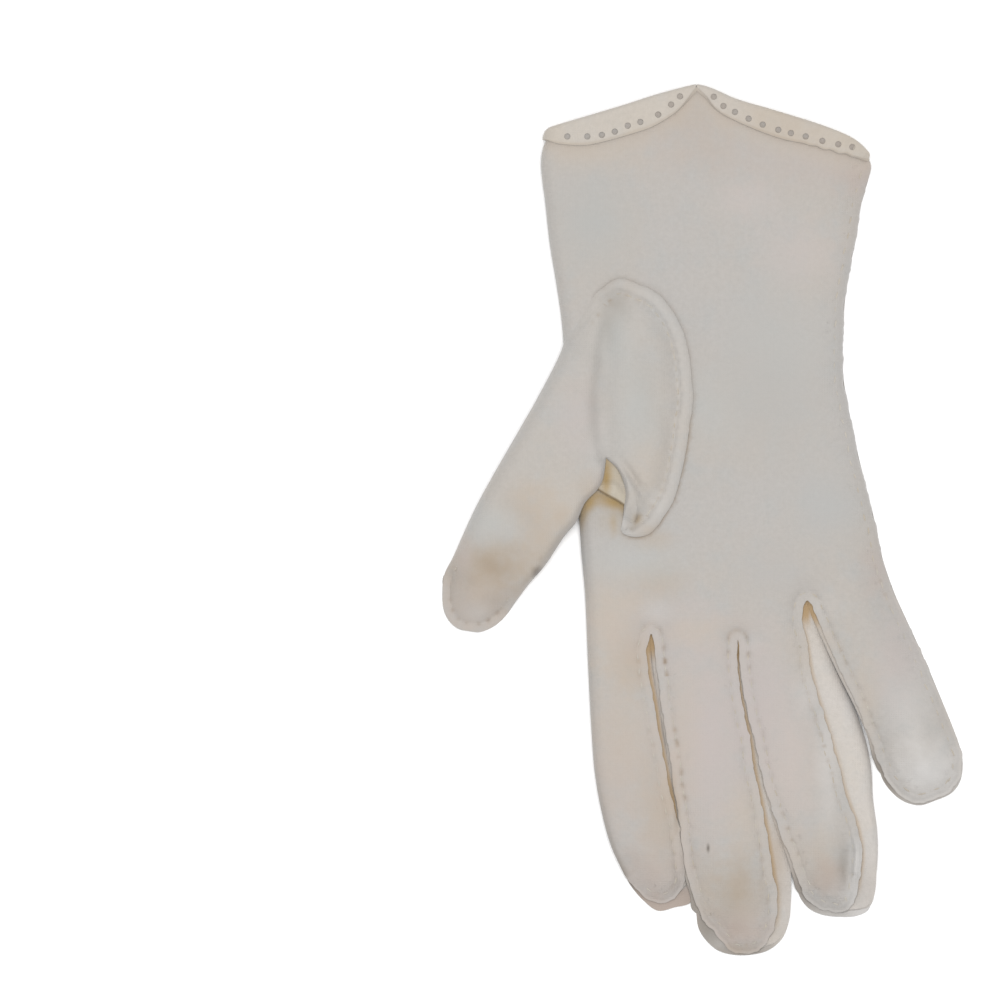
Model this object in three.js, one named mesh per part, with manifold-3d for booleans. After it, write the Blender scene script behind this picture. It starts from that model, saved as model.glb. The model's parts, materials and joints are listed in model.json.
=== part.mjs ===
// A cotton dress glove for the right hand, lying flat with its palm up and its fingers toward -Y.
// Cloth shells of one wall thickness: a palm-and-back piece folded along the index side and closed by an
// outside seam along the little finger, a set-in thumb, three fourchettes between the fingers, and a
// scalloped cuff edge turned back in two flaps with punched holes. Millimetres, +Z up, underside at z = 0.

import * as THREE from 'three';
import { mergeVertices } from 'three/addons/utils/BufferGeometryUtils.js';
import Module from 'manifold-3d';

const wasm = await Module();
wasm.setup();

// Driving dimensions
const WALL = 1.2; // double-woven cotton with its seam allowance
const GAP = 0.3; // clearance between neighbouring pieces of cloth
const FLAP = 1.1; // thickness of the turned-back cuff edge
const SEAM_WIDTH = 2.4; // the flat outside seam, from raw edge to stitches
const SEAM_THICK = 1.7; // its two layers
const FOOT = 0.9; // rounding where a side meets the table
const BASE_RISE = 1.9; // height of a folded side's widest line above its underside
const RISE_SHARE = 1 / 3; // and at most this share of a low section's height
const ROOM_HIGH = 0.8; // least free height and width of a hollow
const ROOM_WIDE = 3;
const DRAW_BACK = 0.8; // a hollow's blind end is drawn back by this share of its last step at most
const FOURCHETTE_INSET = 2.0; // a fourchette's seams, in from the finger's outline
const FOURCHETTE_TIP = 9; // a fourchette ends this far short of its fingertip
const FOURCHETTE_SHOULDER = 0.6; // its upper seam lies this much further in, on the finger's shoulder
const STRIP_OVERLAP = 0.25; // its two legs' slabs reach this far past the slit between them
const STRIP_LOW = -1; // slab section: bottom, top, and the step between its lower and upper seam line
const STRIP_TOP = 12;
const STRIP_STEP_HIGH = 4.4;
const STRIP_STEP_LOW = 2.4;
const TOUCHING = 4; // two fingers less than this apart share one slab
const ROW_CLEAR = 1; // rows nearer than this to a slab's ends are left out
const HOLE_RADIUS = 0.85; // punched holes of the cuff, and the cutter's height and middle
const HOLE_CUTTER = 10;
const HOLE_SIDES = 6;
const RIGHT_SEAM_SPLIT = 2.4; // height at which front and back flap part on the outside seam
const FRONT_LOW = 1.9; // the thumb-side flap's palm part runs on down to here, into its part on the back
const CUFF_PEAK_X = -1.9; // where the two flaps meet on the palm
const CUFF_PEAK_LOW = 115.6; // how far down the cut between the flaps runs straight
const CUFF_START = 80; // the cuff is made from the palm's sections beyond this station
const THUMB_HOLE_LOW = 5; // the thumb hole is cut from here up, clear of the back layer
const TALL = 40; // reach of cutters beyond the cloth
const FAR = 140;
const WIDE = 60;
const MERGE_REACH = 1e-5; // corners this close are one corner

// Roundness of a section's upper side: 2 is an ellipse, more is flatter with quicker shoulders
const PALM_ROUND = 3.2;
const FINGER_ROUND = 2.6;
const THUMB_ROUND = 2.3;
const GUSSET_ROUND = 2.7;

const columns = (names, rows) => {
  const keys = names.split(' ');
  return rows.map((row) => Object.fromEntries(keys.map((key, i) => [key, row[i]])));
};

// Palm and back, from the cuff to the knuckles: station, outline edges, underside and top
const PALM = columns('y left right low high', [
  [119, -40.6, 41.9, 1.5, 9.0],
  [106, -41.2, 42.6, 1.5, 9.1],
  [98.5, -42.4, 43.8, 1.5, 9.1],
  [94.5, -43.4, 45.2, 1.5, 9.0],
  [90, -43.0, 44.0, 0.6, 8.8],
  [86, -42.6, 43.0, 0, 8.7],
  [75, -41.4, 41.1, 0, 8.6],
  [61, -39.2, 38.6, 0, 8.5],
  [46, -37.7, 37.5, 0, 8.5],
  [32, -36.9, 38.8, 0, 8.6],
  [18, -35.5, 42.0, 0, 8.8],
  [4, -34.0, 45.2, 0, 9.0],
  [-8, -32.9, 48.0, 0, 9.0],
  [-16, -32.3, 50.0, 0, 8.7],
  [-20, -32.1, 51.4, 0, 7.6],
]);

// Fingers: station, outline edges, top, and how far the top seams lie in from a sloping side
const INDEX = columns('y left right high leanLeft leanRight', [
  [0, -33.2, -9.0, 8.4, 0, 0],
  [-15, -32.2, -11.4, 8.9, 0, 0],
  [-25, -31.8, -13.5, 9.1, 0, 0.2],
  [-31, -31.5, -14.6, 9.1, 0, 0.4],
  [-35, -31.3, -15.3, 9.1, 0, 0.6],
  [-46, -30.8, -14.1, 9.1, 0, 0.6],
  [-60, -30.1, -11.9, 9.0, 0, 0.6],
  [-72, -28.9, -9.5, 8.6, 0, 0.6],
  [-83, -26.3, -7.3, 8.0, 0, 0.5],
  [-92, -23.0, -6.0, 7.0, 0, 0.3],
  [-98.5, -19.2, -5.3, 5.4, 0, 0],
  [-102, -16.6, -5.2, 3.6, 0, 0],
  [-102.6, -16.2, -5.2, 1.8, 0, 0],
  [-104.6, -13.6, -7.6, 1.6, 0, 0],
  [-105.7, -12.4, -9.8, 1.5, 0, 0],
]);
const MIDDLE = columns('y left right high leanLeft leanRight', [
  [0, -16.0, 12.0, 8.5, 0, 0],
  [-15, -15.5, 11.2, 9.0, 0, 0],
  [-25, -15.0, 10.4, 9.2, 0.2, 0.3],
  [-32.6, -13.4, 9.3, 9.2, 0.5, 0.5],
  [-38.9, -12.7, 9.3, 9.2, 0.6, 0.8],
  [-47, -11.3, 10.4, 9.2, 0.6, 1.2],
  [-58, -9.3, 12.7, 9.1, 0.6, 1.6],
  [-68, -7.6, 15.6, 9.0, 0.6, 2.2],
  [-78, -6.7, 18.3, 8.8, 0.6, 2.8],
  [-87, -5.7, 21.1, 8.4, 0.5, 3.8],
  [-95, -4.6, 23.6, 7.8, 0.4, 4.4],
  [-103, -2.9, 23.7, 6.8, 0.2, 3.6],
  [-109, -1.2, 22.9, 5.6, 0, 2.6],
  [-113, 0.6, 21.0, 4.2, 0, 1.2],
  [-114.6, 2.2, 19.6, 3.0, 0, 0.4],
  [-115.1, 2.8, 19.0, 1.8, 0, 0],
  [-116.6, 5.4, 17.2, 1.6, 0, 0],
  [-117.5, 8.4, 14.4, 1.5, 0, 0],
]);
const RING = columns('y left right high leanLeft leanRight', [
  [0, 8.4, 29.0, 8.5, 0, 0],
  [-14, 8.6, 28.6, 9.0, 0, 0.6],
  [-22, 8.8, 28.2, 9.1, 0, 1.8],
  [-27, 9.0, 29.8, 9.1, 0.2, 3.0],
  [-33, 10.0, 32.3, 9.1, 0.4, 4.6],
  [-39.5, 11.3, 35.3, 9.1, 0.5, 6.4],
  [-46, 12.2, 38.3, 9.1, 0.5, 7.8],
  [-53, 13.6, 41.3, 9.0, 0.5, 8.6],
  [-60.5, 15.3, 44.2, 9.0, 0.5, 8.8],
  [-69, 17.0, 45.5, 8.8, 0.5, 8.2],
  [-78, 19.6, 46.7, 8.5, 0.5, 6.2],
  [-87, 22.4, 47.2, 8.0, 0.4, 4.0],
  [-95, 24.9, 46.8, 7.0, 0.2, 3.6],
  [-100.5, 26.1, 46.1, 5.4, 0, 2.8],
  [-103.4, 27.6, 45.2, 3.6, 0, 1.2],
  [-103.9, 28.0, 45.0, 1.8, 0, 0],
  [-105.8, 30.0, 43.6, 1.6, 0, 0],
  [-107.2, 33.6, 40.2, 1.5, 0, 0],
]);
const LITTLE = columns('y left right high leanLeft leanRight', [
  [0, 24.0, 46.4, 8.3, 0, 0],
  [-12, 26.0, 49.2, 8.6, 0, 0],
  [-20, 27.4, 51.8, 8.6, 0, 0],
  [-26, 30.5, 54.6, 8.6, 0.2, 0],
  [-33, 33.5, 57.8, 8.6, 0.4, 0],
  [-42, 37.4, 61.6, 8.5, 0.5, 0],
  [-51, 41.5, 65.5, 8.3, 0.5, 0],
  [-58, 44.7, 68.3, 7.9, 0.4, 0],
  [-64, 46.3, 70.3, 7.2, 0.2, 0],
  [-68.6, 48.2, 70.0, 6.0, 0, 0],
  [-71.8, 50.2, 68.8, 4.4, 0, 0],
  [-73.4, 51.6, 67.6, 3.0, 0, 0],
  [-73.8, 52.0, 67.2, 1.8, 0, 0],
  [-75.6, 54.0, 63.6, 1.6, 0, 0],
  [-77.0, 57.2, 60.0, 1.5, 0, 0],
]);

// Thumb tube: each section's chord from outer to inner edge, underside and top
const THUMB = columns('ax ay bx by low high', [
  [-32.0, 58.2, -23.2, 63.0, 4.0, 10.2],
  [-37.0, 50.6, -23.6, 53.6, 4.0, 12.2],
  [-40.2, 41.5, -23.8, 38.6, 4.0, 13.8],
  [-44.9, 32.8, -24.2, 23.6, 4.0, 15.0],
  [-49.7, 24.4, -27.2, 12.8, 4.0, 15.4],
  [-56.2, 13.0, -32.8, 0.6, 3.4, 15.0],
  [-61.1, 4.0, -40.4, -8.9, 2.2, 13.8],
  [-64.4, -2.8, -45.2, -15.0, 1.0, 12.4],
  [-67.6, -9.6, -50.0, -20.6, 0.3, 11.0],
  [-69.8, -15.4, -52.8, -25.2, 0, 9.4],
  [-70.3, -19.8, -55.0, -28.0, 0, 7.4],
  [-70.0, -22.8, -57.4, -29.4, 0, 4.6],
  [-69.9, -23.2, -57.8, -29.6, 0, 1.8],
  [-69.2, -25.6, -60.0, -30.4, 0, 1.6],
  [-67.2, -28.2, -63.4, -30.6, 0, 1.5],
]);

// The thumb's domed base on the palm: station, edges and top
const GUSSET = columns('y left right low high', [
  [65.6, -23.0, -18.8, 5.0, 10.1],
  [64.0, -24.2, -15.6, 5.0, 10.4],
  [61.2, -25.4, -12.6, 5.0, 10.9],
  [57, -27.0, -8.8, 5.0, 11.6],
  [50, -28.8, -5.2, 5.0, 12.3],
  [42, -30.0, -3.5, 5.0, 12.8],
  [33, -30.6, -2.9, 5.0, 13.0],
  [24, -30.4, -3.9, 5.0, 13.0],
  [17, -28.2, -5.0, 5.0, 12.8],
  [11, -22.4, -6.5, 5.0, 12.4],
  [5, -20.6, -8.5, 5.0, 11.8],
  [-0.6, -19.6, -11.6, 5.0, 10.9],
  [-4.2, -18.6, -15.4, 5.0, 10.2],
]);

// The palm's thumb hole, inside the thumb's footprint
const THUMB_HOLE = columns('x y', [
  [-24, 58],
  [-16, 58.5],
  [-10.5, 53],
  [-7.4, 44],
  [-6.6, 33],
  [-7.4, 21],
  [-10, 11],
  [-13, 4.5],
  [-17, 2.5],
  [-19.5, 9],
  [-24.5, 19],
  [-30.5, 27],
  [-32.5, 38],
  [-31, 50],
]);

// The scalloped edge along which the cuff is folded back
const CUFF_FOLD = columns('x y', [
  [-50, 103.6],
  [-43, 105.6],
  [-34.4, 108.1],
  [-20.7, 112.2],
  [-12.6, 114.8],
  [-4, 117],
  [-1.9, 117.5],
  [1.7, 116.7],
  [8.9, 113.6],
  [17.7, 111],
  [32.4, 106.4],
  [40, 103.3],
  [42.6, 101.5],
  [45.4, 98.6],
  [50, 94],
]);

// Free edges of the turned-back flaps on the palm
const FREE_EDGE_THUMB = columns('x y', [
  [-50, 102.4],
  [-38.7, 101.5],
  [-31.9, 101.1],
  [-27.5, 101.9],
  [-18.9, 104.3],
  [-14.2, 105.9],
  [-10.2, 108.1],
  [-7.1, 110.3],
  [-4.6, 113.1],
  [-2.4, 116.1],
]);
const FREE_EDGE_LITTLE = columns('x y', [
  [-1.4, 116.3],
  [1, 114],
  [2.7, 111.6],
  [5.6, 109.3],
  [13.5, 105.6],
  [21.3, 102.8],
  [27.5, 101.4],
  [36.4, 99.2],
  [43.6, 97.8],
  [50, 97.2],
]);
// Free edge of the flap across the back, a plain scallop
const FREE_EDGE_BACK = columns('x y', [
  [-50, 102.4],
  [-38, 100.6],
  [-20, 102.6],
  [0, 105.4],
  [20, 101.2],
  [36, 98.6],
  [44, 97.6],
  [50, 97.2],
]);

// Punched holes, one row along each free edge
const HOLES_THUMB = columns('x y', [
  [-36.7, 103.6],
  [-31.3, 103.4],
  [-27.4, 103.9],
  [-23.8, 105.0],
  [-20.3, 106.2],
  [-16.8, 107.4],
  [-12.2, 109.6],
  [-8.9, 112.0],
  [-6.2, 114.4],
]);
const HOLES_LITTLE = columns('x y', [
  [2.9, 114.1],
  [5.6, 111.7],
  [8.7, 110.1],
  [12.3, 108.4],
  [16, 106.9],
  [20.2, 105.4],
  [23.7, 104.4],
  [27.7, 103.5],
  [32.1, 102.4],
  [36.4, 101.3],
  [40.1, 100.4],
]);

// Solids

function solidFrom(geometry) {
  geometry.deleteAttribute('normal');
  geometry.deleteAttribute('uv');
  const merged = mergeVertices(geometry, MERGE_REACH);
  const mesh = new wasm.Mesh({
    numProp: 3,
    vertProperties: new Float32Array(merged.attributes.position.array),
    triVerts: new Uint32Array(merged.index.array),
  });
  return new wasm.Manifold(mesh);
}

function geometryFrom(solid) {
  const mesh = solid.getMesh();
  const geometry = new THREE.BufferGeometry();
  geometry.setAttribute('position', new THREE.BufferAttribute(new Float32Array(mesh.vertProperties), 3));
  geometry.setIndex(new THREE.BufferAttribute(new Uint32Array(mesh.triVerts), 1));
  geometry.computeVertexNormals();
  return geometry;
}

const union = (solids) => solids.reduce((sum, solid) => sum.add(solid));
const signedPower = (value, power) => Math.sign(value) * Math.abs(value) ** power;
const lerp = (a, b, t) => a + (b - a) * t;

// Value of one column of a table at any station, straight between rows
function valueAt(rows, column, y) {
  const last = rows.length - 1;
  if (y >= rows[0].y) return rows[0][column];
  if (y <= rows[last].y) return rows[last][column];
  const i = rows.findIndex((row) => row.y <= y);
  const t = (rows[i - 1].y - y) / (rows[i - 1].y - rows[i].y);
  return lerp(rows[i - 1][column], rows[i][column], t);
}

// A row whose section lies straight across the hand, as a chord from its left to its right edge
const chord = (row) => ({ low: 0, ...row, ax: row.left, ay: row.y, bx: row.right, by: row.y });

// One closed section in its own plane: [distance along the chord, height], counter-clockwise.
// grow is positive for a section larger all round, negative for the hollow inside the cloth.
function section(row, grow, shape) {
  const width = Math.hypot(row.bx - row.ax, row.by - row.ay);
  const low = row.low - grow;
  const high = row.high + grow;
  const hollow = grow < 0;
  const leanA = row.leanLeft ?? 0;
  const leanB = row.leanRight ?? 0;
  const seam = shape.seam && !hollow;
  const seamInside = shape.seam && hollow ? SEAM_WIDTH : 0;
  const rise = seam ? SEAM_THICK + 2 * grow : Math.min(BASE_RISE, (high - low) * RISE_SHARE);
  const foot = Math.min(FOOT, rise / 2);
  const base = low + rise;
  const slant = (lean) => Math.hypot(1, lean / row.high);
  const left = -grow * slant(leanA);
  const right = width - seamInside + grow * slant(leanB);
  const shoulder = seam ? right - SEAM_WIDTH : right;
  const points = [];
  for (let i = 0; i <= shape.bottom; i += 1) {
    points.push([lerp(left + foot, right - foot, i / shape.bottom), low]);
  }
  points.push([right, low + foot]);
  if (seam) points.push([right, base]);
  for (let i = 0; i <= shape.top; i += 1) {
    const angle = (Math.PI * i) / shape.top;
    const across = (signedPower(Math.cos(angle), 2 / shape.round) + 1) / 2;
    const up = Math.sin(angle) ** (2 / shape.round);
    points.push([
      lerp(left + leanA * up, shoulder - leanB * up, across),
      base + (high - base) * up,
    ]);
  }
  points.push([left, low + foot]);
  return points;
}

// A closed solid through the rings, with flat ends
function loft(rings) {
  const size = rings[0].length;
  const positions = rings.flat(2);
  const index = [];
  for (let r = 0; r + 1 < rings.length; r += 1) {
    for (let k = 0; k < size; k += 1) {
      const a = r * size + k;
      const b = r * size + ((k + 1) % size);
      index.push(a, b, b + size, a, b + size, a + size);
    }
  }
  return { positions, index, size, count: rings.length };
}

function capTriangles(flatRing) {
  const contour = flatRing.map(([x, z]) => new THREE.Vector2(x, z));
  return THREE.ShapeUtils.triangulateShape(contour, []).map(([a, b, c]) => {
    const area = (contour[b].x - contour[a].x) * (contour[c].y - contour[a].y)
      - (contour[c].x - contour[a].x) * (contour[b].y - contour[a].y);
    return area > 0 ? [a, b, c] : [a, c, b];
  });
}

// Cloth tube through a table of sections
function tube(rows, grow, shape) {
  const flat = rows.map((row) => section(row, grow, shape));
  const rings = rows.map((row, r) => {
    const width = Math.hypot(row.bx - row.ax, row.by - row.ay);
    return flat[r].map(([s, z]) => [
      row.ax + ((row.bx - row.ax) * s) / width,
      row.ay + ((row.by - row.ay) * s) / width,
      z,
    ]);
  });
  const { positions, index, size, count } = loft(rings);
  capTriangles(flat[0]).forEach(([a, b, c]) => index.push(a, c, b));
  const end = (count - 1) * size;
  capTriangles(flat[count - 1]).forEach(([a, b, c]) => index.push(end + a, end + b, end + c));
  const geometry = new THREE.BufferGeometry();
  geometry.setAttribute('position', new THREE.Float32BufferAttribute(positions, 3));
  geometry.setIndex(index);
  return solidFrom(geometry);
}

// The sections of a hollow: rows with no room inside are dropped, and the blind end is drawn back
function hollowRows(rows) {
  const roomy = rows.filter((row) => {
    const width = Math.hypot(row.bx - row.ax, row.by - row.ay);
    return row.high - row.low > 2 * WALL + ROOM_HIGH && width > 2 * WALL + ROOM_WIDE;
  });
  const end = roomy.length - 1;
  const before = roomy[end - 1];
  const last = roomy[end];
  const run = Math.hypot(last.ax - before.ax, last.ay - before.ay);
  const back = Math.min(DRAW_BACK, WALL / run);
  const drawn = { ...last };
  ['ax', 'ay', 'bx', 'by'].forEach((key) => {
    drawn[key] = lerp(last[key], before[key], back);
  });
  return [...roomy.slice(0, end), drawn];
}

// A prism standing through the cloth, over an outline in plan
function prism(points, zLow, zHigh) {
  const shape = new THREE.Shape(points.map(({ x, y }) => new THREE.Vector2(x, y)));
  const geometry = new THREE.ExtrudeGeometry(shape, { depth: zHigh - zLow, bevelEnabled: false });
  geometry.translate(0, 0, zLow);
  return solidFrom(geometry.index ? geometry.toNonIndexed() : geometry);
}

// Everything beyond a line that runs from left to right, up to a straight far side
function beyond(line, shift, zLow, zHigh) {
  const edge = line.map(({ x, y }) => ({ x, y: y + shift }));
  const first = edge[0];
  const last = edge[edge.length - 1];
  return prism([...edge, { x: last.x, y: FAR }, { x: first.x, y: FAR }], zLow, zHigh);
}

// Palm, back and fingers

const PALM_SHAPE = { top: 16, bottom: 3, round: PALM_ROUND, seam: true };
const FINGER_SHAPE = { top: 10, bottom: 2, round: FINGER_ROUND, seam: false };
const LITTLE_SHAPE = { ...FINGER_SHAPE, seam: true };

const palmRows = PALM.map(chord);
const FINGERS = [
  { rows: INDEX.map(chord), shape: FINGER_SHAPE },
  { rows: MIDDLE.map(chord), shape: FINGER_SHAPE },
  { rows: RING.map(chord), shape: FINGER_SHAPE },
  { rows: LITTLE.map(chord), shape: LITTLE_SHAPE },
];

const handOuter = union([
  tube(palmRows, 0, PALM_SHAPE),
  ...FINGERS.map(({ rows, shape }) => tube(rows, 0, shape)),
]);
const handHollow = union([
  tube(palmRows, -WALL, PALM_SHAPE),
  ...FINGERS.map(({ rows, shape }) => tube(hollowRows(rows), -WALL, shape)),
]);
const cuffCut = beyond(CUFF_FOLD, -(FLAP + GAP), -TALL, TALL);
const thumbHole = prism(THUMB_HOLE, THUMB_HOLE_LOW, TALL);
const handShell = handOuter.subtract(handHollow).subtract(cuffCut);

// Half of a fourchette's strip: the side of one finger, as a slab that leans with it.
// side is +1 for the finger's right side and -1 for its left; grow widens it for the clearance.
function sideStrip(finger, neighbour, side, crotch, grow) {
  const edge = side > 0 ? 'right' : 'left';
  const other = side > 0 ? 'left' : 'right';
  const lean = side > 0 ? 'leanRight' : 'leanLeft';
  const end = finger[finger.length - 1].y + FOURCHETTE_TIP - grow;
  const start = crotch + FOURCHETTE_INSET + grow;
  const between = finger.map((row) => row.y).filter((y) => y < start - ROW_CLEAR && y > end + ROW_CLEAR);
  const rings = [start, ...between, end].map((y) => {
    const line = valueAt(finger, edge, y);
    const across = valueAt(neighbour, other, y);
    const near = y > neighbour[neighbour.length - 1].y && Math.abs(across - line) < TOUCHING;
    const farther = side > 0 ? Math.max(line, across) : Math.min(line, across);
    const outside = (near ? farther : line) + side * STRIP_OVERLAP;
    const seam = line - side * (FOURCHETTE_INSET + grow);
    const topInset = FOURCHETTE_SHOULDER + Math.max(FOURCHETTE_INSET, valueAt(finger, lean, y));
    const seamTop = line - side * (topInset + grow);
    const ring = [
      [seam, y, STRIP_LOW],
      [outside, y, STRIP_LOW],
      [outside, y, STRIP_TOP],
      [seamTop, y, STRIP_TOP],
      [seamTop, y, STRIP_STEP_HIGH - grow],
      [seam, y, STRIP_STEP_LOW - grow],
    ];
    return side > 0 ? ring : [ring[1], ring[0], ring[5], ring[4], ring[3], ring[2]];
  });
  const { positions, index, size, count } = loft(rings);
  const flatEnd = (ring) => capTriangles(ring.map(([x, , z]) => [x, z]));
  flatEnd(rings[0]).forEach(([a, b, c]) => index.push(a, c, b));
  const last = (count - 1) * size;
  flatEnd(rings[count - 1]).forEach(([a, b, c]) => index.push(last + a, last + b, last + c));
  const geometry = new THREE.BufferGeometry();
  geometry.setAttribute('position', new THREE.Float32BufferAttribute(positions, 3));
  geometry.setIndex(index);
  return solidFrom(geometry);
}

const FOURCHETTES = [
  { name: 'fourchette_index_middle', left: INDEX, right: MIDDLE, crotch: -30.5 },
  { name: 'fourchette_middle_ring', left: MIDDLE, right: RING, crotch: -32.0 },
  { name: 'fourchette_ring_little', left: RING, right: LITTLE, crotch: -22.5 },
];

const stripsOf = ({ left, right, crotch }, grow) => union([
  sideStrip(left, right, 1, crotch, grow),
  sideStrip(right, left, -1, crotch, grow),
]);

const palmAndBack = handShell
  .subtract(thumbHole)
  .subtract(union(FOURCHETTES.map((strip) => stripsOf(strip, GAP))));
const fourchettes = FOURCHETTES.map((strip) => handShell.intersect(stripsOf(strip, 0)));

// Thumb

const THUMB_SHAPE = { top: 12, bottom: 2, round: THUMB_ROUND, seam: false };
const GUSSET_SHAPE = { top: 12, bottom: 1, round: GUSSET_ROUND, seam: false };
const gussetRows = GUSSET.map(chord);
const thumb = tube(THUMB, 0, THUMB_SHAPE)
  .add(tube(gussetRows, 0, GUSSET_SHAPE))
  .subtract(tube(hollowRows(THUMB), -WALL, THUMB_SHAPE))
  .subtract(tube(hollowRows(gussetRows), -WALL, GUSSET_SHAPE))
  .subtract(tube(palmRows, GAP, PALM_SHAPE))
  .subtract(union(FINGERS.slice(0, 1).map(({ rows, shape }) => tube(rows, GAP, shape))));

// Turned-back cuff

const cuffRows = palmRows.filter((row) => row.y > CUFF_START);
const cuffOuter = tube(cuffRows, GAP + FLAP, PALM_SHAPE);
const cuffHollow = tube(cuffRows, -WALL, PALM_SHAPE);
const cuffCovered = tube(cuffRows, GAP, PALM_SHAPE).subtract(beyond(CUFF_FOLD, -FLAP, -TALL, TALL));
const pastFold = beyond(CUFF_FOLD, 0, -TALL, TALL);
const cuffBand = cuffOuter.subtract(cuffCovered).subtract(cuffHollow).subtract(pastFold);

// The palm's part of the cuff on one side of the V: side is -1 toward the thumb, +1 toward the little finger
function besideV(side) {
  const x = CUFF_PEAK_X + (side * GAP) / 2;
  return prism([
    { x, y: FAR },
    { x, y: CUFF_PEAK_LOW },
    { x: side * WIDE, y: WIDE },
    { x: side * WIDE, y: FAR },
  ], -TALL, TALL);
}
const frontThumb = beyond(FREE_EDGE_THUMB, 0, FRONT_LOW, TALL).intersect(besideV(-1));
const frontLittle = beyond(FREE_EDGE_LITTLE, 0, RIGHT_SEAM_SPLIT + GAP / 2, TALL).intersect(besideV(1));
const back = beyond(FREE_EDGE_BACK, 0, -TALL, RIGHT_SEAM_SPLIT - GAP / 2);

const punches = (holes) => union(holes.map(({ x, y }) => {
  const geometry = new THREE.CylinderGeometry(HOLE_RADIUS, HOLE_RADIUS, HOLE_CUTTER, HOLE_SIDES);
  geometry.rotateX(Math.PI / 2);
  geometry.translate(x, y, HOLE_CUTTER);
  return solidFrom(geometry);
}));

const flapThumb = cuffBand.intersect(frontThumb.add(back)).subtract(punches(HOLES_THUMB));
const flapLittle = cuffBand.intersect(frontLittle).subtract(punches(HOLES_LITTLE));

// The glove

const cloth = (color) => new THREE.MeshStandardMaterial({ color, roughness: 0.95, metalness: 0 });
const palmCloth = cloth(0xc3c0b9);
const thumbCloth = cloth(0xc6c3bc);
const fourchetteCloth = cloth(0xcfcabd);
const flapCloth = cloth(0xd2ccc1);

const group = new THREE.Group();
function piece(name, solid, material) {
  const mesh = new THREE.Mesh(geometryFrom(solid), material);
  mesh.name = name;
  group.add(mesh);
}
piece('palm_and_back', palmAndBack, palmCloth);
piece('thumb', thumb, thumbCloth);
FOURCHETTES.forEach(({ name }, i) => piece(name, fourchettes[i], fourchetteCloth));
piece('cuff_flap_thumb_side', flapThumb, flapCloth);
piece('cuff_flap_little_finger_side', flapLittle, flapCloth);

export default group;
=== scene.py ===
import json
import math

import bpy
import numpy as np
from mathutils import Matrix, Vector, geometry, kdtree, noise

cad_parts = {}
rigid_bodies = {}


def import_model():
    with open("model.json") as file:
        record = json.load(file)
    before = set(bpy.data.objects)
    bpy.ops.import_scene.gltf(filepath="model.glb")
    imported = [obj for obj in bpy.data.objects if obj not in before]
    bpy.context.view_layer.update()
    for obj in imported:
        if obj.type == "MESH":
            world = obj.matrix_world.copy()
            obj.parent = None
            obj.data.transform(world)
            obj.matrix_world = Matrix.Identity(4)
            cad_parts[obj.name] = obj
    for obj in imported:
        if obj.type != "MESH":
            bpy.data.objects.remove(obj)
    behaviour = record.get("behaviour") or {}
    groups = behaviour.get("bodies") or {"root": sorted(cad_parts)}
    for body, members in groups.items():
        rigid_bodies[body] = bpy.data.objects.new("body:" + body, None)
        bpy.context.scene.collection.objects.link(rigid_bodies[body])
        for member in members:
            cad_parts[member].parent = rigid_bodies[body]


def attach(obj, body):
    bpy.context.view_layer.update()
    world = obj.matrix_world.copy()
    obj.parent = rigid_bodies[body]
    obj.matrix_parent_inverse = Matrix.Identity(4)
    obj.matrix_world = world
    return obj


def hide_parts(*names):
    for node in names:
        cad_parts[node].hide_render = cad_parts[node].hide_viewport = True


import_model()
for leftover in [o for o in bpy.data.objects if o.name in ("Cube", "Light", "Camera")]:
    bpy.data.objects.remove(leftover)
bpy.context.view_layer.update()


# Where the glove lies: a plain white table under a wide soft light, looked at from straight above.
# The picture is 1000 pixels square and 270 mm wide at the glove. All sizes here are in metres.
PICTURE_CENTRE = (-0.05485, 0.00535)
PICTURE_WIDTH = 0.27
PALM_LEVEL = 0.004  # the picture has that width at this height
CAMERA_HEIGHT = 5
SENSOR_WIDTH = 36
HALF_TABLE = 6
TABLE_COLOUR = (0.97, 0.97, 0.97, 1)
TABLE_ROUGHNESS = 0.9
SKY_COLOUR = (1.0, 1.0, 1.0, 1)
SKY_STRENGTH = 0.62
LAMP_PLACE = (0.0, 0.1, 1.4)
LAMP_SIZE = 0.5
LAMP_POWER = 16.3


def placed(name, data):
    """A new object in the scene."""
    made = bpy.data.objects.new(name, data)
    bpy.context.scene.collection.objects.link(made)
    return made


camera_data = bpy.data.cameras.new("overhead_camera")
camera_data.sensor_width = SENSOR_WIDTH
camera_data.lens = SENSOR_WIDTH * CAMERA_HEIGHT / PICTURE_WIDTH
camera = placed("overhead_camera", camera_data)
camera.location = (*PICTURE_CENTRE, CAMERA_HEIGHT + PALM_LEVEL)
bpy.context.scene.camera = camera
bpy.context.scene.view_settings.view_transform = "Standard"

table_mesh = bpy.data.meshes.new("table_top")
table_corners = [(x * HALF_TABLE, y * HALF_TABLE, 0) for x, y in ((-1, -1), (1, -1), (1, 1), (-1, 1))]
table_mesh.from_pydata(table_corners, [], [(0, 1, 2, 3)])
table_material = bpy.data.materials.new("white_table")
table_material.use_nodes = True
table_shader = table_material.node_tree.nodes["Principled BSDF"]
table_shader.inputs["Base Color"].default_value = TABLE_COLOUR
table_shader.inputs["Roughness"].default_value = TABLE_ROUGHNESS
table_mesh.materials.append(table_material)
table = placed("table_top", table_mesh)

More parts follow.
